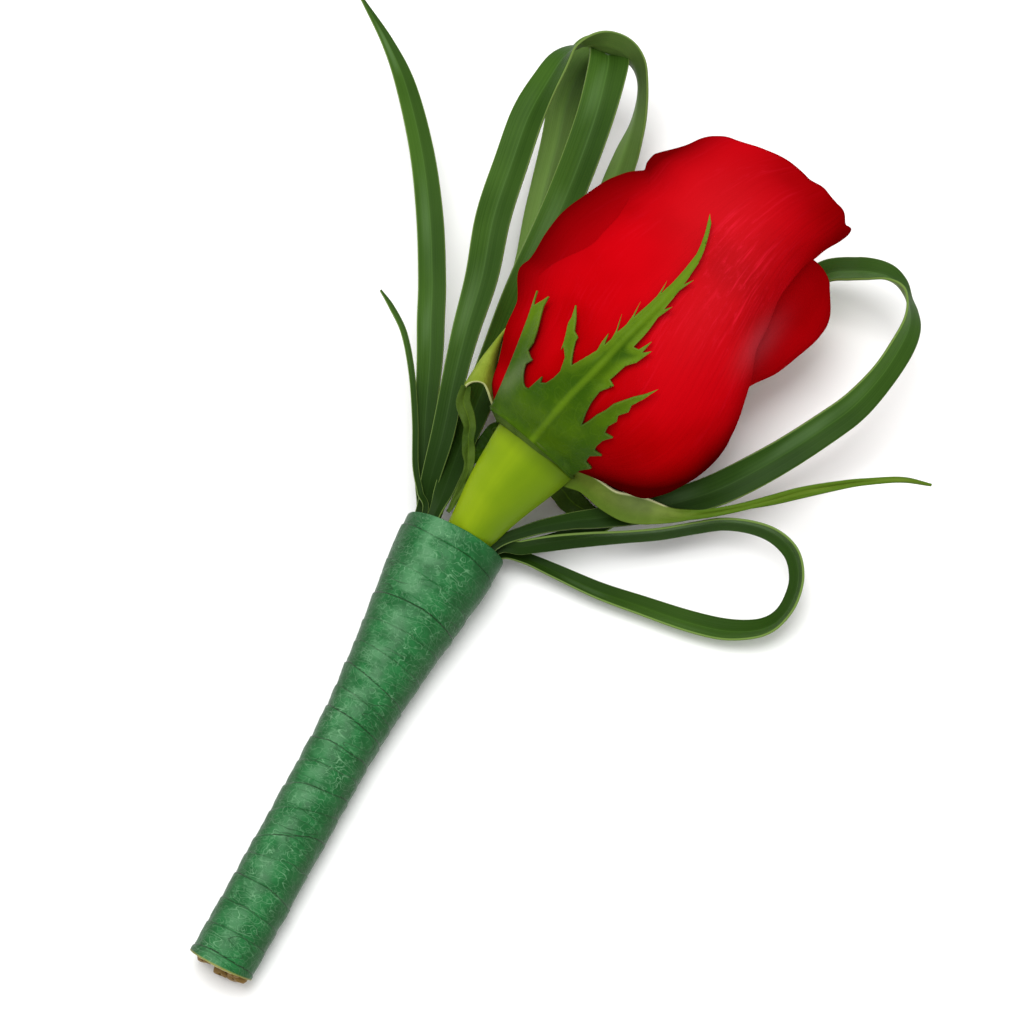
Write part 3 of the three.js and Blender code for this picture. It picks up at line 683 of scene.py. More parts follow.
def frontPetal(u, v):
    low, high = 0.0, 58.0
    for _ in range(15):  # the margins depend on the place along, and the free edge on the angle
        along = (low + high) / 2
        left, right = smoothRow(bloom["margins"], along)
        angle = mix(left, right, u)
        if along < mix(0.4, curveAt(bloom["topEdge"], angle), v ** 1.1):
            low = along
        else:
            high = along
    out = 0.1
    out += 0.35 * (1 - ease(u, 0.0, 0.07)) * ease(along, 12, 18) * (1 - ease(along, 27, 36))
    out += curveAt(bloom["rightReach"], along) * ease(angle, 48, 86)
    flare = curveAt(bloom["flare"], angle) * ease(along, 39, 44.5)
    out += flare
    out -= 4.6 * ease(angle, 88, 120) ** 1.4 * ease(along, 22, 33) * (1 - 0.6 * ease(along, 50, 56))
    out -= 0.9 * hump(angle, 54, 14) * ease(along, 24, 36) * (1 - ease(along, 45, 53))
    out -= 0.5 * hump(angle, -12, 15) * ease(along, 30, 42)
    out += 0.35 * ease(v, 0.96, 1.0) * (0.7 + noise.noise(Vector((u * 9, 0, 3))))
    out += ripple(u, v, 1.3, 0.3) * ease(v, 0.05, 0.4)
    along += 0.55 * noise.noise(Vector((u * 15, 0.5, 0))) * ease(v, 0.9, 1.0)
    along -= 0.4 * flare * ease(along, 47, 53)
    return angle, along, out


def leftPetal(u, v):
    angle = mix(-165, -30, u)
    along = mix(0.4, mix(45.3, 41, ease(-angle, 88, 108)), v)
    out = -0.45 + (curveAt(bloom["leftReach"], along) + 0.45) * ease(-angle, 44, 82)
    out -= 1.2 * ease(along, 39, 44) * ease(-angle, 35, 70)
    out += ripple(u, v, 4.1, 0.25) * ease(v, 0.1, 0.5)
    return angle, along, out


def lowerPetal(start, end, reach, seed, lift):
    def surface(u, v):
        angle = mix(start, end, u)
        along = mix(0.4, reach * (1 - 0.16 * abs(2 * u - 1) ** 2.5), v)
        out = lift + 2.0 * ease(v, 0.72, 1.0) * (1 - abs(2 * u - 1) ** 3)
        return angle, along, out + ripple(u, v, seed, 0.3) * ease(v, 0.1, 0.5)

    return surface


def innerPetal(start, end, reach, inset, seed):
    def surface(u, v):
        angle = mix(start, end, u)
        along = mix(30, reach * (1 - 0.05 * abs(2 * u - 1) ** 2), v)
        out = -inset + 1.2 * (u - 0.5) + 0.8 * ease(v, 0.8, 1.0) + ripple(u, v, seed, 0.25)
        return angle, along, out

    return surface


# the second petal on the right, from under the front one round its crest to the back
rightPetalNet = [
    [(12, 22, 10), (16.6, 22, 3), (18.0, 22, -3), (16.5, 22, -10), (8, 22, -16)],
    [(12.5, 29, 6), (16.8, 28.5, 1), (19.4, 28.2, -3), (17.6, 28, -9), (9, 28, -16)],
    [(12.0, 33, 3), (17.4, 32.8, -0.2), (21.1, 32.4, -3), (19.2, 32, -8.5), (10, 32, -15.5)],
    [(11.5, 37, 2), (17.4, 36.8, -0.8), (21.9, 36.5, -3), (19.8, 36, -8), (10.5, 36, -14.8)],
    [(11.5, 41, 1.5), (17.4, 41, -1), (22.4, 40.6, -3), (20.3, 40, -8), (11, 39, -14)],
    [(11.5, 45, 1.5), (16.8, 45.2, -0.8), (21.7, 44.0, -2.6), (19.8, 43.4, -7.6), (11, 43, -13)],
    [(11.5, 48, 1.5), (15.8, 48.6, -0.6), (18.6, 47.5, -2.2), (17.4, 46.6, -7), (10.5, 47, -12)],
]


def petalTones(x, y, z):
    # how streaked with painted light, how pale with painted sheen and how much painted shade the petals get,
    # in the bloom's own frame
    upper = hump(x, -1, 8) * hump(y, 43, 9) + hump(x, 7, 6) * hump(y, 32, 12)
    lower = hump(x, 14, 4) * hump(y, 16, 8)
    shine = min(0.25 + 1.2 * upper + 0.7 * lower, 1.4) * ease(z, -1, 6)
    valley = hump(x, 16.2, 2.0) * hump(y, 33.5, 5) * ease(z, -6, 0)
    # a painted pale sheen along the valley by the second petal, and a little over the upper middle
    pale = 0.6 * valley + 0.1 * upper * ease(z, -4, 4)
    side = ease(abs(x - 2) / 18, 0.35, 1.0) * (1 - ease(z, 2, 14))
    belly = ease(x, 6, 17) * (1 - ease(y, 14, 28)) * (1 - ease(z, 2, 13))
    left = ease(0.15 * (y - 25) - x, 9, 16.5) * ease(y, 10, 22)
    lip = 0.17 * ease(y, 38, 52) + 0.24 * ease(x, -6, 8) * ease(y, 47, 55)
    under = 0.35 * hump(x, -9.5, 2.6) * hump(y, 9, 4) + 0.3 * hump(x, 2, 1.8) * hump(y, 7.5, 3)
    base = under + 0.5 * (1 - ease(y, 0, 5)) + 0.35 * (1 - ease(y, 3, 12)) * ease(x, 2, 9)
    shade = 0.4 * side + 0.6 * belly * (1 - 0.5 * valley) + 0.36 * left + lip + base
    return shine, pale, min(shade, 0.93)


def buildBloom():
    bm = bmesh.new()
    addPetal(bm, *bloom["frontGrid"], frontPetal)

    # painted shade on the left petal along the front petal's margin
    def crease(u, v):
        angle, along, _ = leftPetal(u, v)
        near = hump(angle, curveAt(bloom["margins"], along) - 2, 22)
        return 0.25 * near * ease(along, 15, 22) * (1 - 0.7 * ease(along, 28, 37))

    addPetal(bm, *bloom["leftGrid"], leftPetal, {"bloomCreaseShade": crease})

    def placeRight(u, v):
        x, y, z = netPoint(rightPetalNet, u, v)
        return fromBloom((x, y, z + ripple(u, v, 6.2, 0.3)))

    addSheet(bm, *bloom["rightGrid"], placeRight, lambda u, v: (mix(0.68, 0.92, u), mix(22, 48, v) / 58))
    for values in bloom["lower"]:
        addPetal(bm, *bloom["lowerGrid"], lowerPetal(*values))
    for values in bloom["inner"]:
        addPetal(bm, *bloom["innerGrid"], innerPetal(*values))
    layers = newMarks(bm, "bloomShine", "bloomPaleSheen", "bloomShade")
    for vert in bm.verts:
        spot = vert.co / mm - footSpot / mm - bloom["base"]
        tones = petalTones(spot.dot(bloomAcross), spot.dot(bloom["axis"]), spot.dot(bloomUp))
        for layer, tone in zip(layers, tones):
            vert[layer] = tone
    core = bmesh.ops.create_uvsphere(bm, u_segments=32, v_segments=20, radius=1)["verts"]
    for vert in core:
        x, y, z = vert.co
        vert.co = fromBloom((2 + 11.5 * x, 25 + 22.5 * z, 11.5 * y))
    for face in bm.faces:
        face.smooth = True
    piece = addPiece("roseBloom", bm, "rose_bloom", "petal_red", petalMaterial())
    thicken(piece, bloom["thick"], -1)
    print("bloom done")


# calyx: a toothed front sepal on the bud, two that bend back, and two behind
calyx = {
    "thick": 0.34,
    # up the front sepal's left side to its tip, then down its right side: sideways, along
    "outline": [
        [-7.7, -0.4], [-8.8, 3.3], [-10.2, 7.5], [-12, 12.5], [-13.7, 16.7], [-13.1, 15.4], [-12.7, 14.7],
        [-12.3, 15.6], [-11.8, 16.9], [-11.5, 15.4], [-11, 14.3], [-9.7, 11.7], [-9.2, 10.4], [-9, 9.1],
        [-8.2, 8.6], [-7.6, 8.4], [-8, 7.4], [-7.7, 6.7], [-7.2, 5.9], [-6.4, 5.1], [-5.8, 4.8], [-5.3, 5],
        [-4.9, 7.4], [-4.5, 6.6], [-3.9, 7], [-3.5, 8.2], [-3.4, 9.6], [-4.1, 11.4], [-5.4, 12.6],
        [-5.3, 12], [-6.1, 13.8], [-7, 15.5], [-7.2, 16.6], [-7.9, 18.2], [-6.7, 16.8], [-5.6, 15.2],
        [-4.6, 14.8], [-4.5, 14.2], [-3.9, 13], [-3.2, 11.8], [-2.7, 11.2], [-2.3, 12.2], [-1.9, 13.3],
        [-1.6, 14.2], [-1.3, 15.1], [-1.6, 16.6], [-1.6, 18], [-1, 16.4], [-0.8, 17.6], [-1.1, 19.2],
        [-2, 21.4], [-0.8, 18.9], [-0.5, 20.6], [-0.7, 22.4], [-1.4, 24.6], [-0.4, 22.2], [-0.2, 24.5],
        [-0.1, 26.6], [-0.6, 29.4], [0.1, 27.4], [0.4, 29.8], [0.5, 32.6], [0.4, 35.2], [-0.1, 37.1],
        [-0.7, 38.8], [-1.9, 41.4], [-0.7, 40.4], [0.4, 38.1], [1.2, 36.2], [1.7, 34.4], [2, 32.4],
        [2.2, 30.6], [3.1, 32.1], [2.3, 29.5], [2.4, 27.6], [2.4, 25.8], [3.3, 27], [2.4, 24.3],
        [2.5, 22.4], [2.5, 20.7], [2.4, 18.8], [3.2, 19], [3.9, 21.2], [3.9, 19], [4.8, 20], [4.2, 17.4],
        [3.3, 16], [3.1, 14.4], [2.9, 13.1], [3.9, 12.8], [2.9, 10.9], [3, 9], [3.4, 7.3], [4.1, 5.7],
        [4.5, 6.8], [4.8, 8.2], [5.3, 9.4], [5.6, 10.8], [6.3, 12], [7.1, 13.4], [8, 14.6], [9.1, 16.6],
        [8.5, 14.3], [7.7, 12.3], [8, 11.3], [7.2, 10], [7.6, 9.2], [7.1, 7.9], [7.4, 7], [8.7, 7.3],
        [7.9, 6.1], [7.7, 5], [7.9, 4.3], [9.2, 4.5], [7.9, 3.4], [8, 2.5], [9.3, 2.4], [8.2, 1.3],
        [7.7, -0.4],
    ],
    "midrib": [
        [-1, 0], [7, 0], [13, 0.4], [20, 0.7], [25, 1.1], [29, 1.3], [33, 1.2], [37, 0.6], [41, -1.6],
    ],
    # the left one arches over like a hood: rows from its open rim back to its tip
    "hood": [
        [(-11.7, -1.8, -1.6), (-12.8, -0.9, 0.3), (-12.9, 0.4, 1.5), (-12.1, 1.5, 2.2), (-10.9, 2.0, 2.2),
         (-9.7, 1.6, 1.5), (-8.6, 1.0, 0.5), (-7.4, 0.4, -0.6)],
        [(-12.6, -0.4, -2.4), (-13.3, 0.7, -0.6), (-13.2, 2.2, 0.7), (-12.5, 3.0, 1.3), (-11.5, 3.3, 1.2),
         (-10.4, 3.0, 0.4), (-9.2, 2.4, -0.8), (-8.0, 1.6, -2.0)],
        [(-13.6, 3.6, -3.4), (-13.9, 4.8, -1.6), (-13.7, 5.8, -0.6), (-13.2, 6.2, -0.3), (-12.6, 6.2, -0.5),
         (-11.9, 5.8, -1.2), (-11.2, 5.2, -2.2), (-10.6, 4.6, -3.2)],
        [(-14.0, 8.0, -3.8), (-14.1, 8.6, -3.0), (-14.1, 9.0, -2.4), (-13.9, 9.2, -2.3), (-13.6, 9.2, -2.4),
         (-13.3, 9.0, -2.8), (-13.0, 8.6, -3.4), (-12.8, 8.2, -3.9)],
        [(-14.2, 11.4, -3.9), (-14.2, 11.4, -3.8), (-14.1, 11.5, -3.7), (-14.1, 11.5, -3.7),
         (-14, 11.5, -3.7), (-14, 11.4, -3.8), (-14, 11.4, -3.9), (-14, 11.4, -4)],
    ],
    "tail": [
        [-12.8, 0.1, 0.9, 1.5, 0.1, 0, 1], [-11.6, -2.0, 0.3, 2.2, 0.1, 0, 1],
        [-9.9, -3.1, 0.0, 2.2, 0.2, 0, 1], [-8.4, -4.2, -0.3, 1.9, 0.2, 0, 1],
        [-7.4, -5.7, -0.6, 1.8, -0.1, 0, 1], [-6.2, -7, -0.9, 2, 0.1, 0, 1],
        [-4.9, -8.3, -1.3, 1.4, 0.2, 0, 1], [-4.1, -10, -1.9, 1.2, 0.1, 0, 1], [-3.5, -11.8, -2.6, 1.1],
        [-3.0, -13.8, -3.3, 0.9], [-2.6, -15.8, -3.9, 0.5],
    ],
    "right": [
        [5.6, -0.8, 0.4, 3.2, 0, -0.6, 0.8], [7.6, 0.1, 0.9, 3.8, 0, -0.6, 0.8],
        [9.8, 0.7, 1.1, 3.7, 0, -0.6, 0.8], [12.2, 0.9, 1, 3.8, 0, -0.6, 0.8],
        [14.6, 1.2, 0.5, 4.2, 0, -0.55, 0.85], [17, 2.1, -0.2, 4.7, 0, -0.45, 0.9],
        [19.2, 3.2, -0.9, 4.4, 0, -0.35, 0.9], [21.2, 4.4, -1.4, 3.3, 0, -0.3, 1],
        [23.2, 5.7, -1.2, 2.1, 0, -0.2, 1], [25.2, 7.5, -1, 1.5, 0, -0.1, 1], [27.4, 9.8, -0.8, 1.15],
        [30.2, 13.3, -0.5, 1.05], [32.9, 17, -0.2, 1.35], [35.4, 20.6, 0, 1.6], [38.4, 24.4, 0, 1.4],
        [41.6, 28.1, 0, 1.1], [45.8, 32.1, 0, 0.75], [49.6, 34.4, 0, 0.12],
    ],
    "back": [
        [[4.5, -0.6, -5.0, 5, 0.2, -0.9, -0.2], [7.4, -1.6, -6.6, 4.6, 0.2, -0.7, 0.5],
         [10.4, -2.2, -7.4, 4, 0.1, -0.4, 0.9], [13.4, -1.8, -7.8, 2.6], [16.6, -0.6, -8, 0.4]],
        [[-3, -0.3, -5, 5, 0, -0.9, -0.4], [-4.4, -1.2, -8, 4.2, 0, -0.7, -0.7],
         [-5, -3.5, -8.6, 3, 0, 0, -1], [-5, -6.5, -8.3, 1.6, 0, 0, -1], [-4.8, -9, -7.7, 0.3, 0, 0, -1]],
    ],
    "hoodGrid": (56, 60),
    "rightGrid": (20, 220),
    "tailGrid": (14, 140),
    "backGrid": (14, 50),
    "collarGrid": (90, 6),
    "roughness": 0.46,
    "gloss": 0.04,
    "dark": (0.026, 0.07, 0.001),
    "light": (0.046, 0.1, 0.001),
    "duskDark": (0.03, 0.06, 0.006),
    "duskLight": (0.065, 0.11, 0.014),
    "tips": (0.105, 0.19, 0.006),
    "rib": (0.13, 0.23, 0.008),
    "vein": (0.11, 0.21, 0.012),
    "pale": (0.2, 0.28, 0.04),
    "fresh": (0.17, 0.235, 0.02),
    "freshPale": (0.3, 0.38, 0.055),
    "inside": (0.105, 0.15, 0.016),
    "cream": (0.62, 0.62, 0.34),
    "grey": (0.13, 0.17, 0.075),
    "tailGreen": (0.07, 0.135, 0.008),
    "hollow": (0.012, 0.035, 0.004),
}


def sepalMaterial(name, base, top, ribStrength, rimStrength):
    material, tree, _ = startMaterial(name, calyx)
    spot, uv = placesOf(tree)
    across, _ = sharesOf(tree, uv)
    veins = fibres(tree, spot, 620, 1.5, 0.6, 0.03)
    side = fibres(tree, uv, 1.4, 1, 0, 0.02, Stretch=(3.2, 11, 1))
    steps = [(times(tree, veins, 0.06), "vein"), (times(tree, side, 0.08), "rib")]
    if ribStrength:
        steps.append((smoothRange(tree, awayFrom(tree, across, 0.5), 0.004, 0.045, ribStrength, 0), "rib"))
    if rimStrength:
        steps += [
            # grey: on the front sepal, a painted sheen on its left lobe
            (attribute(tree, "greyShare"), "grey"),
            (attribute(tree, "tipShare"), "tips"),
            (attribute(tree, "tailShare"), "tailGreen"),
            (smoothRange(tree, attribute(tree, "rimDistance"), 0.0, 0.2, rimStrength, 0), "cream"),
        ]
    color = layOver(tree, blend(tree, patches(tree, spot, 150, 4), calyx[base], calyx[top]), calyx, *steps)
    relief = combine(tree, "ADD", patches(tree, spot, 520, 4, 0.2, 0.8), times(tree, veins, 0.4))
    return endMaterial(material, color, relief, 0.35, 0.2)


def distanceToEdge(x, y, corners):
    nearest = 99.0
    for (ax, ay), (bx, by) in zip(corners, corners[1:]):
        dx, dy = bx - ax, by - ay
        share = min(max(((x - ax) * dx + (y - ay) * dy) / (dx * dx + dy * dy), 0), 1)
        nearest = min(nearest, math.hypot(x - ax - share * dx, y - ay - share * dy))
    return nearest


def buildFrontSepal():
    bm = bmesh.new()
    outline = calyx["outline"]
    bm.faces.new([bm.verts.new((x, y, 0)) for x, y in reversed(outline)])
    for normal, low, high, count in (((0, 1, 0), -0.4, 41.4, 120), ((1, 0, 0), -13.6, 9.3, 66)):
        for k in range(1, count):
            cut = Vector(normal) * mix(low, high, k / count)
            everything = bm.verts[:] + bm.edges[:] + bm.faces[:]
            bmesh.ops.bisect_plane(bm, geom=everything, dist=1e-5, plane_co=cut, plane_no=normal)
    bmesh.ops.triangulate(bm, faces=[face for face in bm.faces if len(face.verts) > 4])
    uvLayer = bm.loops.layers.uv.verify()
    rimDistance, greyShare, tipShare = newMarks(bm, "rimDistance", "greyShare", "tipShare")
    for face in bm.faces:
        face.smooth = True
        for loop in face.loops:
            x, y, _ = loop.vert.co
            loop[uvLayer].uv = (0.5 + (x - curveAt(calyx["midrib"], y)) / 16, y / 46)
    for vert in bm.verts:
        x, y, _ = vert.co
        middle = curveAt(calyx["midrib"], y)
        edge = distanceToEdge(x, y, outline)
        vert[rimDistance] = edge
        # a pale grey painted sheen on the left lobe
        vert[greyShare] = 0.4 * hump(x - middle, -8, 1.2) * ease(y, 1, 4) * (1 - ease(y, 6, 11))
        vert[tipShare] = 0.75 * ease(y, 6, 17) * (1 - ease(edge, 0.3, 1.6) * (1 - ease(y, 20, 30)))
        x = middle + (x - middle) * mix(1, 0.78, ease(y, 21, 28))
        shift, radius = smoothRow(bloom["shape"], y)
        rise = 0.85 + 0.4 * hump(x - middle, 0, 0.55) * (1 - ease(y, 32, 41))
        rise += 0.5 * ease(abs(x - middle), 4, 9) * ease(y, 8, 16) + 0.5 * ease(y, 20, 40)
        rise += 0.45 * noise.noise(Vector((x * 0.4, y * 0.28, 2.0))) * ease(y, 1, 5)
        rise += 0.25 * (1 - ease(edge, 0.0, 0.7)) * ease(y, 2, 5)
        reach = radius + rise
        vert.co = fromBloom((x, y, math.sqrt(max(reach * reach - (x - shift) ** 2, 4.0))))
    return bm


def buildCalyx():
    green = sepalMaterial("sepalGreen", "dark", "light", 0.45, 0.03)
    plain = sepalMaterial("sepalPlain", "duskDark", "duskLight", 0.3, 0)
    pale = sepalMaterial("sepalInside", "inside", "pale", 0, 0.9)
    fresh = sepalMaterial("sepalHoodSkin", "fresh", "freshPale", 0, 0.9)
    hollow = sepalMaterial("sepalHollow", "hollow", "dark", 0, 0)

    def addSepal(name, bm, offset, *materials):
        thicken(addPiece(name, bm, "rose_calyx", "sepal_green", *materials), calyx["thick"], offset)

    addSepal("sepalFront", buildFrontSepal(), 0, green)
    bm = bmesh.new()
    marks = {"rimDistance": lambda u, v: 0.09 + v * 9}
    addSheet(bm, *calyx["hoodGrid"], lambda u, v: fromBloom(netPoint(calyx["hood"], u, v)), None, marks)
    addSepal("sepalHood", bm, -1, fresh, hollow)

    bm = bmesh.new()
    addRibbon(bm, calyx["right"], *calyx["rightGrid"], 0.1, fromBloom, 0.5, 5.0, {
        "rimDistance": lambda u, v: mix(u * 1.8, 1, ease(v, 0.42, 0.55)),
        "greyShare": lambda u, v: 0.5 * hump(v, 0.34, 0.12) * (1 - 0.5 * u),
        "tailShare": lambda u, v: mix(
            0.6 * ease(u, 0.4, 0.85), 1 - 0.35 * hump(u, 0.5, 0.2), ease(v, 0.42, 0.56)
        ),
    })
    addSepal("sepalRight", bm, 0, pale, plain)

    bm = bmesh.new()
    addRibbon(bm, calyx["tail"], *calyx["tailGrid"], 0.14, fromBloom, 0.35, 2.0)
    for k, route in enumerate(calyx["back"]):
        addRibbon(bm, route, *calyx["backGrid"], 0.1, fromBloom, 0.3, 7.0 + k)

    def collar(u, v):
        angle = fullTurn * u
        reach = mix(6.4, 8.2, v) + 0.2 * math.sin(5 * angle + 1)
        x, z = reach * math.sin(angle), reach * math.cos(angle)
        return fromBloom((0.7 * (1 - v) + x, mix(-0.9, 0.2, v), z))

    addSheet(bm, *calyx["collarGrid"], collar)
    bmesh.ops.remove_doubles(bm, verts=bm.verts, dist=sameSpot)
    addSepal("sepalsBack", bm, 0, plain, hollow)
    print("calyx done")


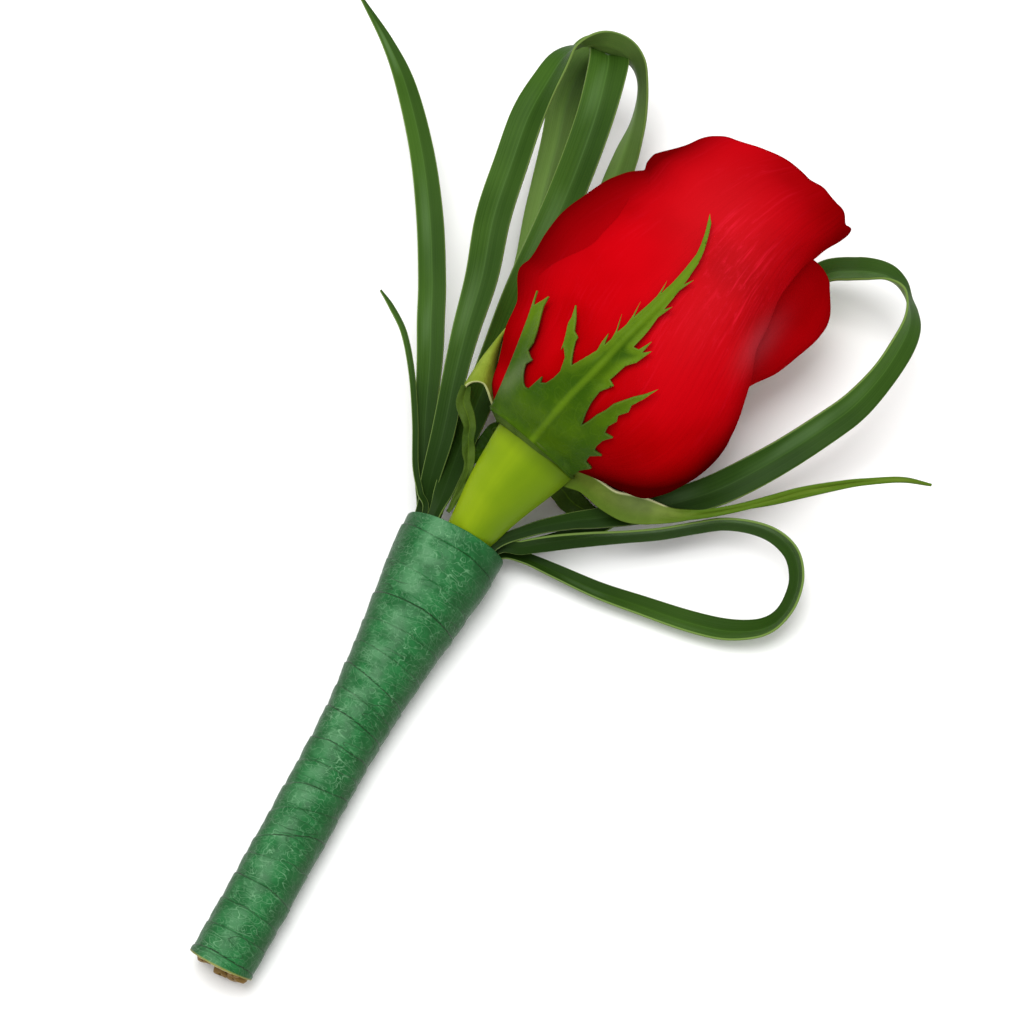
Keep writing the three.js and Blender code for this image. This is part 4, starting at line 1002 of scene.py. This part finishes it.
# lily grass: one tall blade, a short one and four loops
grass = {
    "thick": 0.34,
    "fold": 0.15,
    "dark": (0.019, 0.056, 0.004),
    "light": (0.052, 0.122, 0.014),
    "vein": (0.085, 0.18, 0.035),
    "under": (0.09, 0.175, 0.03),
    "underLight": (0.17, 0.28, 0.065),
    # the pale green of a painted sheen
    "glow": (0.115, 0.205, 0.075),
    "margin": (0.2, 0.3, 0.07),
    # the colour of painted shade: round the wrap's mouth, in the loops' own shade and on each blade's right
    # half
    "mouth": (0.007, 0.022, 0.002),
    # how far along a loop it lies in its own shade, over what share and how deep
    "shaded": {
        "grass_loop_left_inner": (0.605, 0.045, 0.6),
        "grass_loop_left_outer": (0.58, 0.06, 0.6),
        "grass_loop_right": (0.34, 0.09, 0.45),
    },
    # the shade round the wrap's mouth: how deep, and from how near to how far
    "mouthDepth": 0.86,
    "mouthNear": 3,
    "mouthFar": 36,
    "mouthFarRight": 42,
    "grid": (16, 320),
    "shortGrid": (16, 120),
    "roughness": 0.4,
    "gloss": 0.055,
    # x, y, z, width, then the way the upper face looks where that isn't straight up
    "grass_blade_tall": [
        [-3.15, 0.5, 4.3, 1.2, 1, 0, 0], [-3.15, 20, 4.4, 1.2, 1, 0, 0], [-3.3, 40, 4.6, 1.3, 1, 0, 0.1],
        [-4, 55, 5.2, 1.3, 0.8, 0, 0.5], [-5, 65, 5.8, 1.4, 0.3, 0, 1], [-6.1, 74.2, 6.3, 1.5],
        [-8.6, 80, 8.4, 2.5], [-12.1, 87.3, 10.2, 3.1], [-15.9, 96, 11.4, 3.9], [-18.7, 101.7, 12.1, 4.2],
        [-21.6, 107.6, 12.6, 4.2], [-26.7, 116.5, 13, 4.1], [-32.9, 125.6, 13, 3.7],
        [-40.3, 134.4, 12.5, 3.1], [-46.5, 140, 12, 1.9], [-53.9, 145.2, 11.5, 0.5],
    ],
    "grass_blade_short": [
        [-4.4, 61, 7.6, 0.9], [-5.4, 74.2, 8.9, 0.9], [-7.5, 77, 10.3, 0.9], [-9.9, 80.1, 11.5, 0.9],
        [-13, 85.9, 12.6, 0.9], [-16.9, 92.2, 13.6, 0.9], [-20.9, 97.3, 14.1, 0.9],
        [-24.5, 100.1, 14.4, 0.8], [-27.3, 101.8, 14.4, 0.3],
    ],
    "grass_loop_left_outer": [
        [-4.6, 60, 6.6, 1.3], [-6.1, 74.2, 7.6, 1.9], [-7.3, 80.3, 10.2, 2.9], [-8.5, 86.3, 12.2, 3.5],
        [-10.8, 94.4, 14, 3.6], [-12.6, 101.6, 15, 4.2], [-14.4, 110.2, 16, 5], [-17.2, 119.4, 17, 5.4],
        [-18.8, 128.6, 18, 5.4, -0.1, 0, 1], [-19.9, 136.1, 19, 5.4, -0.2, 0.1, 1],
        [-19.8, 142.6, 20, 5.4, -0.5, 0.3, 0.9], [-19.3, 147.7, 20.2, 5.2, -0.6, 0.6, 0.6],
        [-17.1, 151, 20, 4.7, -0.6, 0.8, 0.1], [-15, 152.6, 19, 4.4, -0.3, 0.9, -0.4],
        [-12.4, 153.3, 18, 4.4, 0.1, 0.9, -0.5], [-10, 152.7, 17, 4.4, 0.5, 0.8, -0.4],
        [-8.3, 151.2, 15.6, 4.5, 0.8, 0.5, -0.35], [-7, 148.9, 13.8, 4.7, 0.85, 0.2, -0.45],
        [-6, 145.5, 11.6, 4.8, 0.75, 0, -0.65], [-5.6, 141.5, 9.2, 4.8, 0.5, 0, -0.85],
        [-5.2, 137, 7, 4.6, 0.3, 0, -0.95], [-4.4, 130, 4.8, 3.8, 0, 0, -1],
        [-3.6, 121, 3.2, 3.6, 0, 0, -1], [-3, 107, 2.2, 3.4, 0, 0, -1], [-2.6, 95, 2.2, 3, 0, 0, -1],
        [-2.2, 84, 2.4, 2.3, 0, 0, -1], [-1.7, 74.2, 2.5, 1.7, 0, 0, -1], [-1.1, 62, 1.75, 1.4, 0, 0, -1],
    ],
    "grass_loop_left_inner": [
        [-2.8, 61, 8.3, 1.2, -0.6, 0, 0.8], [-3.9, 74.2, 9.9, 1.9, -0.3, 0, 0.9], [-4.5, 79, 9.9, 3],
        [-5.8, 86.5, 9.2, 4, 0.1, 0, 1], [-7, 95.5, 8.6, 4.6, 0.2, 0, 1],
        [-8.1, 103.1, 8.4, 4.8, 0.2, 0, 1], [-9, 110.8, 8.8, 5.3, 0.2, 0, 1],
        [-9.4, 117.1, 9.6, 5.6, 0.15, 0, 1], [-9.5, 122.2, 11, 5.7, 0.1, 0, 1], [-9.7, 128.2, 13, 5.7],
        [-10.3, 135.6, 15.6, 5.7], [-11.2, 142, 17.2, 5.8, 0, -0.1, 1], [-12.4, 147.2, 17.9, 6, 0, 0.2, 1],
        [-13.6, 150.9, 17.4, 6.2, -0.1, 0.7, 0.8], [-15.1, 152.9, 15.6, 6.3, -0.2, 1, 0.1],
        [-17.3, 151.8, 13.4, 6.1, 0, 0.9, -0.6], [-18.0, 148.8, 11.5, 5.9, 0, 0.3, -1],
        [-17.5, 144.2, 10.2, 5.5, 0, 0, -1], [-16, 138.5, 9, 5.1, 0, 0, -1],
        [-14.7, 132.7, 7.8, 4.7, 0, 0, -1], [-13.3, 126.8, 6.4, 4.5, 0, 0, -1],
        [-11.3, 119.5, 4.8, 4.2, 0, 0, -1], [-9.2, 109, 3.4, 3.8, 0, 0, -1], [-7.9, 96, 3, 3.2, 0, 0, -1],
        [-6.2, 84, 3.3, 2.4, 0, 0, -1], [-4.6, 74.2, 3.7, 1.7, 0, 0, -1], [-3.4, 61, 2.9, 1.3, 0.3, 0, -1],
    ],
    "grass_loop_right": [
        [3.15, 0.5, 4.3, 1.2, 1, 0, 0], [3.15, 20, 4.4, 1.2, 1, 0, 0], [3.3, 40, 4.7, 1.3, 1, 0, 0.1],
        [4, 55, 5.6, 1.3, 0.9, 0, 0.3], [4.9, 65, 7, 1.4, 0.6, 0, 0.8], [5.6, 74.2, 8.4, 1.5, 0.2, 0, 1],
        [9.5, 79.4, 9, 1.9, 0.2, -0.1, 1], [14.2, 83.6, 8.8, 2.5, 0.2, -0.2, 1],
        [18, 86.3, 8.6, 3.1, 0.2, -0.2, 1], [23.2, 90.2, 8.8, 3.9, 0.2, -0.2, 1],
        [29, 95, 9.8, 4.6, 0.1, -0.2, 1], [33.1, 99.1, 11, 5, 0.1, -0.2, 1],
        [38.1, 106.3, 12, 5, 0.3, -0.35, 0.9], [42.5, 113.9, 13, 4.9, 0.35, -0.4, 0.85],
        [44.8, 118.5, 14, 4.8, 0.45, -0.4, 0.8], [46.3, 124.3, 14.7, 4.6, 0.6, -0.33, 0.7],
        [46.8, 129.8, 15, 4.9, 0.74, -0.23, 0.64], [46.5, 133.5, 15, 4.9, 0.84, 0, 0.54],
        [45.3, 136.1, 14.9, 4.7, 0.85, 0.34, 0.41], [43.6, 138, 14.6, 4.6, 0.64, 0.7, 0.33],
        [41.3, 139.4, 14, 4.8, 0.29, 0.66, 0.7], [38.6, 139.9, 13, 5.1, 0, 0.45, 0.9],
        [34.7, 139.4, 10.9, 5.3, -0.14, 0.31, 0.94], [30.7, 138.2, 7.6, 5.3, -0.15, 0.26, 0.95],
        [27.8, 134, 4.2, 4.4], [26, 124, 2.4, 4], [23.7, 110, 1.1, 3.6], [21.5, 98.6, 1.1, 3.2],
        [17.5, 87.5, 1.7, 2.8], [9.6, 79.5, 1.9, 2], [4.3, 73.8, 3.2, 1.6, -0.4, 0, 0.9],
        [3.1, 61, 2.7, 1.2, -0.4, 0, 0.9],
    ],
    "grass_loop_low": [
        [4.5, 61, 5.3, 1.2], [5.9, 74.2, 6.9, 1.5, 0.2, -0.3, 1], [9.8, 77.2, 7.6, 2.4, 0.4, -0.6, 0.6],
        [14, 80.2, 8.1, 3.4, 0.5, -0.8, 0.35], [18.2, 82.9, 8.4, 3.8, 0.54, -0.84, 0.2],
        [22.5, 85.7, 8.1, 3.9, 0.54, -0.84, 0.1], [27.1, 88.8, 7.8, 3.9, 0.54, -0.84, 0.1],
        [31.3, 92, 7.9, 3.9, 0.54, -0.84, 0.1], [34.9, 94.4, 8.3, 3.9, 0.4, -0.9, 0.1],
        [39.1, 96, 8.1, 3.9, 0.1, -1, 0.15], [42.9, 96.3, 7.8, 3.9, -0.2, -0.9, 0.25],
        [46.3, 95.1, 7.2, 3.9, -0.6, -0.7, 0.4], [48.5, 92.3, 6.4, 3.9, -0.8, -0.3, 0.5],
        [49.2, 89.2, 5.4, 4, -0.8, 0, 0.6], [48.9, 86.5, 4.4, 4.1, -0.7, 0.3, 0.7],
        [47.7, 84.3, 3.5, 4.3, -0.4, 0.5, 0.8], [45.4, 82.5, 2.9, 4.4, -0.2, 0.5, 0.85],
        [41.6, 80.9, 2.3, 4.4, -0.09, 0.43, 0.9], [36.2, 79.7, 2.1, 4.3, -0.09, 0.43, 0.9],
        [29.2, 78.7, 2.2, 3.9, -0.09, 0.43, 0.9], [22.3, 77.7, 2.7, 3.3, -0.09, 0.4, 0.9],
        [15, 77.2, 3.6, 2.5, 0, 0.3, 0.95], [10.4, 76.7, 4.5, 1.9, 0, 0.2, 1], [7.2, 75.6, 5.1, 1.6],
        [5.7, 72.8, 5.4, 1.4], [4.4, 61, 4, 1.2, 0.2, 0, 1],
    ],
}


def grassMaterial(name, dark, light, midrib):
    material, tree, _ = startMaterial(name, grass)
    spot, uv = placesOf(tree)
    across, _ = sharesOf(tree, uv)
    tone = times(tree, patches(tree, spot, 55, 2, 0.3, 0.7), 0.6)
    streaks = times(tree, grain(tree, uv, 30, 1.2, 3, 0.3, 0.7, Roughness=0.7), 0.4)
    # a painted sheen along one half, broken into long patches
    band = smoothRange(tree, awayFrom(tree, across, 0.32), 0.05, 0.24, 0.55, 0.06)
    fromMiddle = awayFrom(tree, across, 0.5)
    color = layOver(
        tree, blend(tree, combine(tree, "ADD", tone, streaks), grass[dark], grass[light]), grass,
        (times(tree, grain(tree, uv, 75, 0.8, 1, 0.55, 0.75), 0.06), "vein"),
        (times(tree, patches(tree, spot, 95, 1, 0.5, 0.72, Stretch=(1, 0.3, 1)), band), "glow"),
        (smoothRange(tree, fromMiddle, 0, 0.03, midrib, 0), "vein"),
        # painted shade on the right half of each blade
        (smoothRange(tree, across, 0.45, 0.6, 0, 0.4), "mouth"),
        (attribute(tree, "mouthShade"), "mouth"),
        (smoothRange(tree, fromMiddle, 0.475, 0.498, 0, 0.6), "margin"),
    )
    return endMaterial(material, color, grain(tree, uv, 46, 0.6, 2, 0.2, 0.8), 0.2, 0.12)


def buildGrass():
    upper = grassMaterial("lilyGrassUpper", "dark", "light", 0.4)
    under = grassMaterial("lilyGrassUnder", "under", "underLight", 0.35)
    for name, route in grass.items():
        if not name.startswith("grass_"):
            continue
        route = faceUp(route)
        onRight = name in ("grass_loop_right", "grass_loop_low")
        far = grass["mouthFarRight"] if onRight else grass["mouthFar"]
        middle, spread, depth = grass["shaded"].get(name, (0, 1, 0))

        def mouthShade(u, v):
            x, y, *_ = routeAt(route, v)
            distance = math.hypot(x, max(y - tape["length"], 0))
            shade = grass["mouthDepth"] * (1 - ease(distance, grass["mouthNear"], far))
            return max(shade, depth * hump(v, middle, spread))

        bm = bmesh.new()
        grid = grass["shortGrid"] if name == "grass_blade_short" else grass["grid"]
        addRibbon(bm, route, *grid, grass["fold"], toFrame, marks={"mouthShade": mouthShade})
        words = name.split("_")
        title = words[0] + "".join(word.title() for word in words[1:])
        thicken(addPiece(title, bm, name, "grass_green", upper, under), grass["thick"], 0)
    print("grass done")


# table, camera and light
studio = {
    "azimuth": 27.5,
    "elevation": 70.0,
    "distance": 640.0,
    "target": (6.16, 80.63, 10.0),
    "lens": 150.0,
    "sensor": 36,
    "skyLight": 0.77,
    "keyPower": 8.1,
    "keySpot": (-0.12, 0.04, 1.0),
    "keySize": 0.55,
    "table": (0.95, 0.95, 0.945),
    "tableReach": 1.5,
    "roughness": 0.95,
    "gloss": 0.1,
}


def addLamp(name, spot, size, power):
    lamp = bpy.data.objects.new(name, bpy.data.lights.new(name, "AREA"))
    lamp.data.size = size
    lamp.data.energy = power
    lamp.location = spot
    lamp.rotation_euler = Vector(spot).to_track_quat("Z", "Y").to_euler()
    bpy.context.scene.collection.objects.link(lamp)


def buildStudio():
    scene = bpy.context.scene
    bm = bmesh.new()
    bmesh.ops.create_grid(bm, x_segments=1, y_segments=1, size=studio["tableReach"])
    mesh = bpy.data.meshes.new("table")
    bm.to_mesh(mesh)
    bm.free()
    table = bpy.data.objects.new("table", mesh)
    scene.collection.objects.link(table)
    material, _, shader = startMaterial("paleTable", studio)
    shader.inputs["Base Color"].default_value = (*studio["table"], 1)
    mesh.materials.append(material)

    azimuth, elevation = math.radians(studio["azimuth"]), math.radians(studio["elevation"])
    flatReach = math.cos(elevation)
    back = Vector((math.sin(azimuth) * flatReach, -math.cos(azimuth) * flatReach, math.sin(elevation)))
    camera = bpy.data.objects.new("camera", bpy.data.cameras.new("camera"))
    camera.data.lens = studio["lens"]
    camera.data.sensor_width = studio["sensor"]
    camera.location = toFrame(studio["target"]) + back * studio["distance"] * mm
    camera.rotation_euler = back.to_track_quat("Z", "Y").to_euler()
    scene.collection.objects.link(camera)
    scene.camera = camera

    sky = bpy.data.worlds.new("studio")
    scene.world = sky
    sky.use_nodes = True
    sky.node_tree.nodes["Background"].inputs["Color"].default_value = (1, 1, 1, 1)
    sky.node_tree.nodes["Background"].inputs["Strength"].default_value = studio["skyLight"]
    addLamp("keyLight", studio["keySpot"], studio["keySize"], studio["keyPower"])
    scene.view_settings.view_transform = "Standard"
    print("studio done")


buildTape()
buildStem()
buildBloom()
buildCalyx()
buildGrass()
buildStudio()
